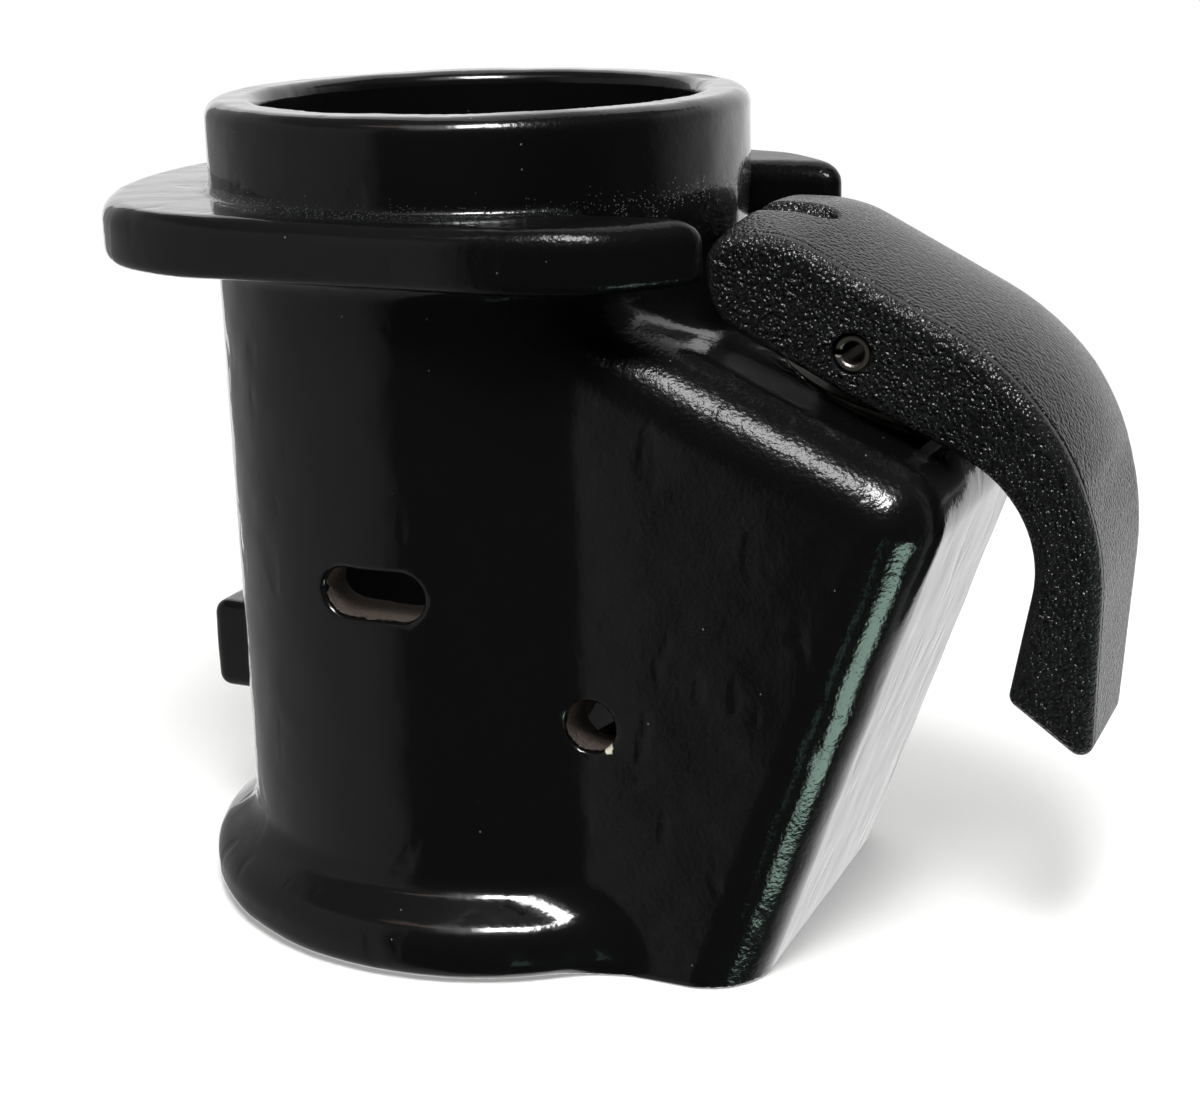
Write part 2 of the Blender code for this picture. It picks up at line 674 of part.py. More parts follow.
def lever_slot():
    """What the stem sweeps in the lever between rest and full swing, with clearance."""
    radius = stem_radius + slot_clearance
    far = 2 * lever_reach
    rest = math.radians(270.0) - slide_tilt
    raised = rest - swing
    start = math.degrees(raised) - 90.0
    end = math.degrees(rest) + 90.0 - 360.0
    points = arc(0, 0, radius, start, end, 8)
    first_x, first_z = points[0]
    last_x, last_z = points[-1]
    points.append((last_x + far * math.cos(rest), last_z + far * math.sin(rest)))
    points.append((far * (math.cos(rest) + math.cos(raised)), far * (math.sin(rest) + math.sin(raised))))
    points.append((first_x + far * math.cos(raised), first_z + far * math.sin(raised)))
    return points


def lever_back(outline):
    """The lever's back from above its pin down to its tip, as a run of points."""
    start = min(range(len(outline)), key=lambda i: abs(outline[i][0]) + (outline[i][1] < 0))
    end = min(range(len(outline)), key=lambda i: outline[i][1])
    step = 1 if outline[(start + 1) % len(outline)][0] > outline[start][0] else -1
    run = [outline[start]]
    while start != end:
        start = (start + step) % len(outline)
        run.append(outline[start])
    return run


def walk(run, length):
    """The point and the direction at a length along a run of points."""
    for (x, z), (next_x, next_z) in zip(run, run[1:]):
        piece = math.hypot(next_x - x, next_z - z)
        if length <= piece:
            share = length / piece
            break
        length -= piece
        share = 1.0
    dx = (next_x - x) / piece
    dz = (next_z - z) / piece
    return x + dx * piece * share, z + dz * piece * share, dx, dz


def make_lever():
    lever = slab('release_lever', lever_pivot, lever_outline,
                 levels(-lever_half_width, lever_half_width, lever_edge, lever_edge, 3), 'Y',
                 black_nylon, tapered)
    slot_half = stem_radius + slot_clearance
    combine(lever, slab('stem_slot', lever_pivot, lever_slot(), levels(-slot_half, slot_half), 'Y'),
            'DIFFERENCE')
    combine(lever, slab('lever_pin_hole', lever_pivot, circle(roll_pin_radius + gap, 24),
                        levels(-2 * lever_half_width, 2 * lever_half_width), 'Y'), 'DIFFERENCE')

    # Cored cells under the back, between cross ribs
    run = lever_back(lever_outline)
    whole = sum(math.hypot(q[0] - p[0], q[1] - p[1]) for p, q in zip(run, run[1:]))
    first = stem_radius + 2 * lever_rib
    cell = (whole - first - 2 * lever_wall - (lever_cells - 1) * lever_rib) / lever_cells
    depth = 2 * tip_thickness
    half = lever_half_width - lever_wall
    for number in range(lever_cells):
        begin = first + number * (cell + lever_rib)
        skin = []
        for i in range(5):
            x, z, dx, dz = walk(run, begin + cell * i / 4)
            skin.append((x + dz * lever_wall, z - dx * lever_wall))
        x, z, dx, dz = walk(run, begin + cell)
        skin.append((x + dz * depth, z - dx * depth))
        x, z, dx, dz = walk(run, begin)
        skin.append((x + dz * depth, z - dx * depth))
        cutter = slab('lever_cell_%d' % number, lever_pivot, skin, levels(-half, half), 'Y',
                      stretch=tapered)
        combine(lever, cutter, 'DIFFERENCE')


def make_lever_pin():
    """A slotted spring pin: a rolled strip with its slit turned to the nose."""
    inner = roll_pin_radius - roll_pin_wall
    slit = math.degrees(math.asin(roll_pin_slit / 2 / roll_pin_radius))
    inner_slit = math.degrees(math.asin(roll_pin_slit / 2 / inner))
    outline = arc(0, 0, roll_pin_radius, 180 + slit, 540 - slit, 24)
    outline += arc(0, 0, inner, 540 - inner_slit, 180 + inner_slit, 24)
    reach = lever_half_width - roll_pin_recess
    slab('lever_pin', lever_pivot, outline, levels(-reach, reach, broken_edge, broken_edge, 1), 'Y',
         plain_steel)


make_casting()
make_plug()
make_guides()
make_spring()
make_block()
make_stem()
make_lever()
make_lever_pin()
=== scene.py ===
import json
import math

import bpy
import numpy as np
from mathutils import Matrix, Vector


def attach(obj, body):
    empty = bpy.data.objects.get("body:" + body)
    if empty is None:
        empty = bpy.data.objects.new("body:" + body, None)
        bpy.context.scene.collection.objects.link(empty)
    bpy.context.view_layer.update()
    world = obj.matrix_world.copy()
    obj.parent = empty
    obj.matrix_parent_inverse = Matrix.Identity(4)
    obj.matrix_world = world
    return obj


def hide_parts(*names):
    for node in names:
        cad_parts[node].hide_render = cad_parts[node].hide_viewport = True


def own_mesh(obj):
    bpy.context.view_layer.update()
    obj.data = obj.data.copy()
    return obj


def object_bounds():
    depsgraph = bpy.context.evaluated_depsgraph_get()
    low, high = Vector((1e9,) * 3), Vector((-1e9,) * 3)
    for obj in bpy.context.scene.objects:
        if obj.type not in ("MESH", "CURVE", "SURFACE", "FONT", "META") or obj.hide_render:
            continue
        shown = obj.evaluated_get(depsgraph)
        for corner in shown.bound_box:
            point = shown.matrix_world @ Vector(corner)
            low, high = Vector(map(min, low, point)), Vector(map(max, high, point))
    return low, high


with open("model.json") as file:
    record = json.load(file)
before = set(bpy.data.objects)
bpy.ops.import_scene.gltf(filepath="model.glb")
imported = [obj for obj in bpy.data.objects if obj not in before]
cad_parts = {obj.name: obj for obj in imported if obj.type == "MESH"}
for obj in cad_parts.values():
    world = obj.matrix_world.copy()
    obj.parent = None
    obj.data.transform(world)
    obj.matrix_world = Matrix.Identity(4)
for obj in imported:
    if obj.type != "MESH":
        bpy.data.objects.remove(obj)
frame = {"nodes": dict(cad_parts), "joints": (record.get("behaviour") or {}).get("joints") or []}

# Looks of a gooseneck coupler: a lumpy sand casting in glossy black enamel, and a moulded cam
# lever with a pebbled skin. The two skins are worked out in millimetres about the socket's
# upright axis, and about the lever's pin, and then set on the frame.

mm = 0.001
cadLow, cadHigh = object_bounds()
joints = {joint["name"]: joint for joint in frame["joints"]}
slideAxis = Vector(joints["lock_slide"]["axis"]).normalized()
pinPlace = Vector(joints["lever_hinge"]["pos_m"])
slideTilt = math.atan2(slideAxis.x, slideAxis.z)
sinTilt = math.sin(slideTilt)
cosTilt = math.cos(slideTilt)
tanTilt = math.tan(slideTilt)


def colour(code):
    # an sRGB hex value as linear light
    parts = [int(code[i:i + 2], 16) / 255 for i in (1, 3, 5)]
    return [part / 12.92 if part <= 0.04045 else ((part + 0.055) / 1.055) ** 2.4 for part in parts] + [1.0]


def addNode(tree, kind, inputs=None, **settings):
    # adds a node; an input is another node's socket to link, or a value to set
    node = tree.nodes.new(kind)
    for name, value in settings.items():
        setattr(node, name, value)
    for name, value in (inputs or {}).items():
        if isinstance(value, bpy.types.NodeSocket):
            tree.links.new(value, node.inputs[name])
        else:
            node.inputs[name].default_value = value
    return node


def perSize(size):
    # scale of a pattern whose features are this many millimetres apart
    return 1.0 / (size * mm)


castingSizes = {
    "bodyRadius": 50.0,
    "ringRadius": 50.8,
    "ringBore": 41.275,
    "ringTop": 155.1,
    "rimRound": 3.2,
    "boreRound": 2.6,
    "pocketFloor": 66.0,
    "floorFillet": 5.0,
    "lipRadius": 58.6,
    "lipRound": 4.6,
    "lipTilt": 54.0,                 # degrees that the shoulder faces upwards
    "lipShoulder": (57.4, 10.4),
    "lipShoulderRound": 2.4,
    "lipBlend": 2.0,
    "flangeRadius": 70.5,
    "flangeFlat": 58.5,
    "flangeLow": 127.6,
    "flangeHigh": 138.7,
    "flangeCorner": 9.0,
    "flangeTopRound": 4.0,
    "flangeBottomRound": 2.4,
    "earCorner": 5.0,
    "slotHalf": 35.0,
    "slotEnd": 30.0,
    "rootTop": 1.5,
    "rootBottom": 4.0,
    "housingFoot": 68.3,
    "housingHeight": 94.0,
    "housingHalf": 41.0,
    "housingRound": 12.0,
    "housingCorner": 9.5,
    "topSlope": 24.1,
    "housingBlend": 6.0,
    "bossFace": 59.5,
    "bossHeight": 42.5,
    "bossHalf": (13.5, 9.5),
    "bossRound": 3.0,
    "bossBlend": 3.5,
    "portRadius": 3.0,
    "plugRadius": 5.2,
    "plugDeep": 50.1,
    "ballHeight": 30.0,
    "socketRadius": 29.97,
    "mouthDepth": 16.5,
    "mouthRadius": 46.0,
    "chamberFront": -26.08,
    "chamberBack": 18.7,
    "chamberStep": 11.0,
    "chamberHalf": 31.0,
    "chamberRound": 2.5,
    "windowHeight": 71.0,
    "windowSize": (20.0, 9.0),
    "pinHole": (38.1, 48.0, 4.75),
    "pivotRise": 10.4,
    "topWall": 12.0,
    "spotDepth": 2.1,
    "wiperDepth": 3.4,
    "bushHole": 10.15,
    "wiperHole": 11.3,
    "washerHole": 17.3,
    "lumpHeight": 0.18,              # most that the sand's lumps take off, inwards
    "lumpWaves": 16,
    "chip": (41.6, 44.4),            # the spot of pale undercoat at the pin hole's rim
    "grid": 0.98,
}
socketX = cadLow.x / mm + castingSizes["flangeRadius"]
pinX = pinPlace.x / mm - socketX
pinZ = pinPlace.z / mm


def roundMin(a, b, radius):
    # two shapes joined, with a fillet
    corner = np.hypot(np.maximum(radius - a, 0.0), np.maximum(radius - b, 0.0))
    return np.maximum(radius, np.minimum(a, b)) - corner


def roundMax(a, b, radius):
    # what two shapes share, with its edge rounded
    corner = np.hypot(np.maximum(radius + a, 0.0), np.maximum(radius + b, 0.0))
    return np.minimum(-radius, np.maximum(a, b)) + corner


def softMin(a, b, reach):
    # two shapes that meet at a shallow angle, joined with a gentle hollow
    near = np.maximum(reach - np.abs(a - b), 0.0)
    return np.minimum(a, b) - near * near / (4.0 * reach)


def smoothStep(low, high, value):
    share = np.clip((value - low) / (high - low), 0.0, 1.0)
    return share * share * (3.0 - 2.0 * share)


def lumps(x, y, z, seed, waves, shortest, longest):
    # a fixed sum of waves in many directions, from 0 to 1
    draw = np.random.default_rng(seed)
    total = 0.0
    weight = 0.0
    for number in range(waves):
        direction = draw.normal(size=3)
        direction /= np.linalg.norm(direction)
        length = shortest * (longest / shortest) ** draw.random()
        phase = draw.random() * math.tau
        turn = math.tau / length
        total = total + length * np.sin(turn * (direction[0] * x + direction[1] * y + direction[2] * z) + phase)
        weight += length
    return 0.5 + 0.5 * np.tanh(total / weight * math.sqrt(waves) * 0.7)


def castingShape(x, y, z, notes=None):
    # signed distance to the casting's surface, millimetres from the socket's axis, negative inside
    c = castingSizes
    r = np.hypot(x, y)
    rise = c["flangeHigh"] - c["flangeLow"]
    wall = r - c["bodyRadius"] - (c["ringRadius"] - c["bodyRadius"]) * np.clip((z - c["flangeLow"]) / rise, 0.0, 1.0)
    body = roundMax(wall, z - c["ringTop"], c["rimRound"])

    # the bell lip has a sloping shoulder
    lean = math.radians(c["lipTilt"])
    cone = (r - c["lipShoulder"][0]) * math.cos(lean) + (z - c["lipShoulder"][1]) * math.sin(lean)
    lip = roundMax(roundMax(r - c["lipRadius"], cone, c["lipShoulderRound"]), -z, c["lipRound"])
    body = roundMin(body, lip, c["lipBlend"])

    # the housing runs out of the round body, with a broad blend down its sides
    slope = math.radians(c["topSlope"])
    backX = c["housingFoot"] + c["housingHeight"] * tanTilt
    back = (x - c["housingFoot"] - z * tanTilt) * cosTilt
    top = (z - c["housingHeight"] - (backX - x) * math.tan(slope)) * math.cos(slope)
    housing = roundMax(back, top, c["housingCorner"])
    housing = roundMax(housing, np.abs(y) - c["housingHalf"], c["housingRound"])
    housing = np.maximum(housing, -x)
    body = softMin(body, housing, c["housingBlend"])

    plan = roundMax(r - c["flangeRadius"], np.abs(y) - c["flangeFlat"], c["flangeCorner"])
    slot = np.maximum(np.abs(y) - c["slotHalf"], c["slotEnd"] - x)
    plan = roundMax(plan, -slot, c["earCorner"])
    flange = roundMax(plan, z - c["flangeHigh"], c["flangeTopRound"])
    flange = roundMax(flange, c["flangeLow"] - z, c["flangeBottomRound"])
    root = c["rootBottom"] + (c["rootTop"] - c["rootBottom"]) * smoothStep(c["flangeLow"], c["flangeHigh"], z)
    body = roundMin(body, flange, root)

    depth = (c["bossFace"] - c["ringBore"]) / 2
    sides = ((x + c["bossFace"] - depth, depth), (y, c["bossHalf"][0]), (z - c["bossHeight"], c["bossHalf"][1]))
    out = [np.abs(place) - half + c["bossRound"] for place, half in sides]
    beyond = np.sqrt(sum(np.maximum(side, 0.0) ** 2 for side in out))
    boss = beyond + np.minimum(np.maximum(np.maximum(out[0], out[1]), out[2]), 0.0) - c["bossRound"]
    body = roundMin(body, boss, c["bossBlend"])

    outside = body

    pocket = roundMax(r - c["ringBore"], c["pocketFloor"] - z, c["floorFillet"])
    body = roundMax(body, -pocket, c["boreRound"])
    ball = np.hypot(r, np.maximum(z - c["ballHeight"], 0.0)) - c["socketRadius"]
    lean = (c["mouthRadius"] - c["socketRadius"]) / c["mouthDepth"]
    cone = (r - c["mouthRadius"] + z * lean) / math.hypot(1.0, lean)
    body = roundMax(body, -np.minimum(ball, cone), 0.8)

    # the chamber and the stem's holes lie along the slide
    across = (x - pinX) * cosTilt - (z - pinZ) * sinTilt
    along = (x - pinX) * sinTilt + (z - pinZ) * cosTilt
    topFace = -c["pivotRise"] / math.cos(slope - slideTilt)
    ceiling = topFace - c["topWall"] / math.cos(slope - slideTilt)
    seat = topFace - c["spotDepth"]
    holeX, holeZ, holeRadius = c["pinHole"]
    roof = (holeX - pinX) * sinTilt + (holeZ - pinZ) * cosTilt - holeRadius + 22.0
    step = c["chamberFront"] + c["chamberStep"]
    shoulder = np.maximum(along - roof, (along - across - roof + step) * math.sqrt(0.5))
    lowRoom = np.maximum(np.maximum(c["chamberFront"] - across, across - c["chamberBack"]), shoulder)
    highRoom = np.maximum(np.maximum(step - across, across - c["chamberBack"]), along - ceiling)
    room = roundMax(np.minimum(lowRoom, highRoom), np.abs(y) - c["chamberHalf"], c["chamberRound"])
    body = roundMax(body, -room, 0.5)
    offStem = np.hypot(across, y)
    holes = np.maximum(offStem - c["bushHole"], ceiling - 1.0 - along)
    holes = np.minimum(holes, np.maximum(offStem - c["wiperHole"], seat - c["wiperDepth"] - along))
    holes = np.minimum(holes, np.maximum(offStem - c["washerHole"], seat - along))
    body = roundMax(body, -holes, 0.3)

    port = np.hypot(y, z - c["bossHeight"])
    plugWay = np.minimum(np.maximum(port - c["portRadius"], x), np.maximum(port - c["plugRadius"], x + c["plugDeep"]))
    body = roundMax(body, -plugWay, 0.3)
    windowLong, windowWide = c["windowSize"]
    reach = np.maximum(np.abs(x) - (windowLong - windowWide) / 2, 0.0)
    window = np.hypot(reach, z - c["windowHeight"]) - windowWide / 2
    body = roundMax(body, -window, 1.3)
    pinWay = np.maximum(np.hypot(x - holeX, z - holeZ) - holeRadius, -x)
    body = roundMax(body, -pinWay, 0.9)
    if notes is not None:
        # bare: how far inside the side holes. grit: how near the foot of the ring
        near = np.minimum(np.abs(window), np.abs(pinWay)) < 0.9
        notes["bare"] = np.where(near & (pocket > 0.3), smoothStep(0.6, 2.4, -outside), 0.0)
        gritOut = (r - c["ringRadius"] - 0.8) / 1.2
        gritUp = (z - c["flangeHigh"] - 0.4) / 0.9
        notes["grit"] = np.exp(-(gritOut ** 2 + gritUp ** 2))
        chipX, chipZ = c["chip"]
        # housing: rough most of all along its edges. thin: where the enamel ran off its top edge
        side = smoothStep(-14.0, -6.0, np.abs(y) - c["housingHalf"]) * smoothStep(18.0, 34.0, x)
        edge = side * np.maximum(smoothStep(-14.0, -6.0, top), 0.4 * smoothStep(-14.0, -6.0, back))
        notes["housing"] = 0.3 * smoothStep(18.0, 34.0, x) + 0.7 * edge
        notes["thin"] = side * smoothStep(-14.0, -6.0, top) * (1.0 - smoothStep(backX - 17.0, backX - 8.0, x))
        notes["chip"] = np.where(y < 0, np.exp(-((x - chipX) ** 2 + (z - chipZ) ** 2) / 1.3), 0.0)
    return roundMax(body, -z, 0.6)


def castingSkinShape(x, y, z, notes=None):
    c = castingSizes
    shape = castingShape(x, y, z, notes)
    return shape + c["lumpHeight"] * lumps(x, y, z, 7, c["lumpWaves"], 6.0, 26.0)


leverSizes = {
    # corners of the side view from the pin: x, z, rounding
    "corners": (
        (-26.2, 18.8, 5.0), (-12.0, 18.8, 20.0), (43.8, -9.7, 50.0), (41.5, -73.4, 2.5),
        (26.4, -61.8, 2.5), (34.0, -24.6, 22.0), (-26.2, 4.9, 9.0),
    ),
    "half": 24.0,
    "tipHalf": 15.0,
    "taperStart": -8.0,
    "tipZ": -73.4,
    "farTaper": 4.5,                 # more taper on the far side
    "crown": 3.2,                    # rise of the back's middle over the hump
    "edge": 2.6,
    "wall": 3.6,
    "rib": 3.0,
    "cells": 4,
    "cellRound": 1.2,
    "stemWay": 7.6,
    "pinWay": 3.55,
    "swing": 85.0,
    "noseReach": 31.3,
    "scoop": (-18.5, -5.5),
    "scoopLong": 6.5,
    "scoopDeep": 2.6,
    "scoopRound": 3.8,
    "waveHeight": 0.12,
    "grid": 0.66,
}


def roundedOutline(corners, facet):
    # a closed outline whose corners are arcs of short facets
    points = []
    for number, (a, b, radius) in enumerate(corners):
        before = corners[number - 1]
        after = corners[(number + 1) % len(corners)]
        toBefore = math.atan2(before[1] - b, before[0] - a)
        toAfter = math.atan2(after[1] - b, after[0] - a)
        opening = (toAfter - toBefore + math.pi) % math.tau - math.pi
        reach = radius / math.sin(abs(opening) / 2)
        middle = toBefore + opening / 2
        turn = math.pi - abs(opening)
        count = max(3, round(math.degrees(turn) / facet))
        side = math.copysign(1.0, opening)
        for step in range(count + 1):
            angle = middle + math.pi + side * turn * (0.5 - step / count)
            points.append((a + reach * math.cos(middle) + radius * math.cos(angle),
                           b + reach * math.sin(middle) + radius * math.sin(angle)))
    return points


def outlineDistance(points, x, z):
    # signed distance to a closed outline in the side view, negative inside
    x, z = np.broadcast_arrays(np.asarray(x, float), np.asarray(z, float))
    nearest = np.full(x.shape, 1e12)
    inside = np.zeros(x.shape, bool)
    for (ax, az), (bx, bz) in zip(points, points[1:] + points[:1]):
        runX = bx - ax
        runZ = bz - az
        share = np.clip(((x - ax) * runX + (z - az) * runZ) / (runX * runX + runZ * runZ), 0.0, 1.0)
        nearest = np.minimum(nearest, (x - ax - share * runX) ** 2 + (z - az - share * runZ) ** 2)
        crosses = (az > z) != (bz > z)
        if abs(runZ) > 1e-9:
            inside ^= crosses & (x < ax + (z - az) * runX / runZ)
    return np.where(inside, -1.0, 1.0) * np.sqrt(nearest)


def alongRun(run, length):
    # a point on a run of points, and the direction there
    for (ax, az), (bx, bz) in zip(run, run[1:]):
        piece = math.hypot(bx - ax, bz - az)
        if length <= piece or (bx, bz) == run[-1]:
            break
        length -= piece
    dx = (bx - ax) / piece
    dz = (bz - az) / piece
    return ax + dx * length, az + dz * length, dx, dz


leverOutline = roundedOutline(leverSizes["corners"], 4.0)
leverOutlinePlain = roundedOutline(leverSizes["corners"], 8.0)


def leverCells():
    # side views of the cored cells between the ribs, square to the back
    s = leverSizes
    points = leverOutlinePlain
    start = min(range(len(points)), key=lambda i: abs(points[i][0]) + (points[i][1] < 0))
    end = min(range(len(points)), key=lambda i: points[i][1])
    step = 1 if points[(start + 1) % len(points)][0] > points[start][0] else -1
    run = [points[start]]
    while start != end:
        start = (start + step) % len(points)
        run.append(points[start])
    whole = sum(math.hypot(b[0] - a[0], b[1] - a[1]) for a, b in zip(run, run[1:]))
    first = 7.0 + 2 * s["rib"]
    cell = (whole - first - 2 * s["wall"] - (s["cells"] - 1) * s["rib"]) / s["cells"]
    cells = []
    for number in range(s["cells"]):
        begin = first + number * (cell + s["rib"])
        places = [alongRun(run, begin + cell * i / 6) for i in range(7)]
        skin = [(x + dz * s["wall"], z - dx * s["wall"]) for x, z, dx, dz in places]
        for x, z, dx, dz in (places[-1], places[0]):
            skin.append((x + dz * 30.0, z - dx * 30.0))
        cells.append(skin)
    return cells


def stemSweep():
    # what the stem needs in the lever between rest and full swing
    s = leverSizes
    rest = math.radians(270.0) - slideTilt
    raised = rest - math.radians(s["swing"])
    start = raised - math.pi / 2
    end = rest + math.pi / 2 - math.tau
    points = []
    for i in range(13):
        angle = start + (end - start) * i / 12
        points.append((s["stemWay"] * math.cos(angle), s["stemWay"] * math.sin(angle)))
    far = 150.0
    firstX, firstZ = points[0]
    lastX, lastZ = points[-1]
    points.append((lastX + far * math.cos(rest), lastZ + far * math.sin(rest)))
    points.append((far * (math.cos(rest) + math.cos(raised)), far * (math.sin(rest) + math.sin(raised))))
    points.append((firstX + far * math.cos(raised), firstZ + far * math.sin(raised)))
    return points


cellOutlines = leverCells()
sweepOutline = stemSweep()


def leverShape(x, y, z, notes=None):
    # signed distance to the lever's surface, millimetres from its pin
    s = leverSizes
    share = np.clip((s["taperStart"] - z) / (s["taperStart"] - s["tipZ"]), 0.0, 1.0)
    half = s["half"] * (1.0 - share * (1.0 - s["tipHalf"] / s["half"]))
    half = half - np.where(y > 0, s["farTaper"] * share, 0.0)
    noseX, noseZ = s["corners"][6][:2]
    overBelly = smoothStep(1.0, 9.0, z - noseZ + 0.49 * (x - noseX)) * smoothStep(-34.0, -2.0, z)
    crown = s["crown"] * overBelly * (1.0 - np.minimum(y / half, 1.0) ** 2)
    profile = outlineDistance(leverOutline, x, z) - crown
    body = roundMax(profile, np.abs(y) - half, s["edge"])
    # the nose swings down over its washer
    body = roundMax(body, np.where(x < 0.0, np.hypot(x, z) - s["noseReach"], -9.0), 1.5)

    # a long shallow scoop lies across the nose's top
    along = np.maximum(np.abs(x - s["scoop"][0]) - s["scoopLong"], 0.0)
    scoop = np.hypot(np.hypot(along, y - s["scoop"][1]), (profile + s["scoopDeep"] - s["scoopRound"]))
    body = roundMax(body, -(scoop - s["scoopRound"]), 0.7)

    inner = np.abs(y) - (half - s["wall"])
    outside = body
    for outline in cellOutlines:
        cell = roundMax(outlineDistance(outline, x, z), inner, s["cellRound"])
        body = np.maximum(body, -cell)
    sweep = np.maximum(outlineDistance(sweepOutline, x, z), np.abs(y) - s["stemWay"])
    if notes is not None:
        # fromSide: depth below the side face. fromBack: depth below the outline. grain: outer skin only
        notes["fromSide"] = half - np.abs(y)
        notes["fromBack"] = -profile
        notes["grain"] = smoothStep(-0.6, -0.2, outside)
    body = roundMax(body, -sweep, 0.5)
    return roundMax(body, -(np.hypot(x, z) - s["pinWay"]), 0.4)


def leverSkinShape(x, y, z, notes=None):
    s = leverSizes
    return leverShape(x, y, z, notes) + s["waveHeight"] * lumps(x, y, z, 11, 14, 14.0, 40.0)


def skinPoints(shape, low, high, step, mirrored):
    # one point in each grid cell that the surface crosses, and a four-sided face round each crossing
    axes = [np.arange(low[i] - 2 * step, high[i] + 2 * step, step) for i in range(3)]
    if mirrored:
        half = np.arange(0.0, high[1] + 2 * step, step)
        axes[1] = np.concatenate([-half[:0:-1], half])
        field = shape(axes[0][:, None, None], half[None, :, None], axes[2][None, None, :])
        field = np.concatenate([field[:, :0:-1], field], axis=1).astype(np.float32)
    else:
        field = shape(axes[0][:, None, None], axes[1][None, :, None], axes[2][None, None, :]).astype(np.float32)
    inside = field < 0.0
    size = [n - 1 for n in field.shape]
    offsets = [(i, j, k) for i in (0, 1) for j in (0, 1) for k in (0, 1)]
    count = np.zeros(size, np.uint8)
    for i, j, k in offsets:
        count += inside[i:i + size[0], j:j + size[1], k:k + size[2]]
    cells = np.argwhere((count > 0) & (count < 8))
    numbers = np.full(size, -1, np.int32)
    numbers[tuple(cells.T)] = np.arange(len(cells))
    corner = {o: field[cells[:, 0] + o[0], cells[:, 1] + o[1], cells[:, 2] + o[2]] for o in offsets}
    total = np.zeros((len(cells), 3))
    hits = np.zeros(len(cells))
    for start in offsets:
        for axis in range(3):
            if start[axis]:
                continue
            end = tuple(1 if i == axis else start[i] for i in range(3))
            a = corner[start]
            b = corner[end]
            crosses = (a < 0.0) != (b < 0.0)
            share = np.where(crosses, a / np.where(crosses, a - b, 1.0), 0.0)
            for i in range(3):
                total[:, i] += np.where(crosses, start[i] + (share if i == axis else 0.0), 0.0)
            hits += crosses
    places = cells + total / hits[:, None]
    points = np.stack([axes[i][0] + step * places[:, i] for i in range(3)], axis=1)

    faces = []
    for axis in range(3):
        b = (axis + 1) % 3
        c = (axis + 2) % 3
        near = [slice(0, size[i] + 1) for i in range(3)]
        far = list(near)
        near[axis] = slice(0, size[axis])
        far[axis] = slice(1, size[axis] + 1)
        first = inside[tuple(near)]
        crossing = np.argwhere(first != inside[tuple(far)])
        crossB = crossing[:, b]
        crossC = crossing[:, c]
        crossing = crossing[(crossB > 0) & (crossC > 0) & (crossB < size[b]) & (crossC < size[c])]
        around = []
        for stepB, stepC in ((0, 0), (1, 0), (1, 1), (0, 1)):
            cell = crossing.copy()
            cell[:, b] -= stepB
            cell[:, c] -= stepC
            around.append(numbers[tuple(cell.T)])
        quads = np.stack(around, axis=1)
        outward = first[tuple(crossing.T)]
        quads[~outward] = quads[~outward][:, ::-1]
        faces.append(quads)
    return points, np.concatenate(faces)


def slopeOf(shape, points, reach=0.03):
    slope = np.empty_like(points)
    for axis in range(3):
        shifts = []
        for side in (reach, -reach):
            moved = points.copy()
            moved[:, axis] += side
            shifts.append(shape(*moved.T))
        slope[:, axis] = (shifts[0] - shifts[1]) / (2 * reach)
    return slope


def settle(shape, points, rounds, most):
    # slide the points along the slope until they lie on the surface
    for number in range(rounds):
        value = shape(*points.T)
        slope = slopeOf(shape, points)
        square = np.maximum((slope ** 2).sum(axis=1), 0.25)
        move = slope * (value / square)[:, None]
        far = np.linalg.norm(move, axis=1)
        move *= np.minimum(1.0, most / np.maximum(far, 1e-9))[:, None]
        points = points - move
    return points


def meshFrom(name, points, faces, place):
    mesh = bpy.data.meshes.new(name)
    mesh.vertices.add(len(points))
    mesh.vertices.foreach_set("co", ((points + place) * mm).astype(np.float32).ravel())
    mesh.loops.add(faces.size)
    mesh.loops.foreach_set("vertex_index", faces.ravel().astype(np.int32))
    mesh.polygons.add(len(faces))
    mesh.polygons.foreach_set("loop_start", np.arange(0, faces.size, faces.shape[1], dtype=np.int32))
    mesh.update(calc_edges=True)
    mesh.validate()
    return mesh


def addObject(name, data):
    item = bpy.data.objects.new(name, data)
    bpy.context.scene.collection.objects.link(item)
    return item


def plainMesh(item, name):
    # what an object's modifiers make of it, as a mesh of its own
    depsgraph = bpy.context.evaluated_depsgraph_get()
    mesh = bpy.data.meshes.new_from_object(item.evaluated_get(depsgraph))
    mesh.name = name
    return mesh


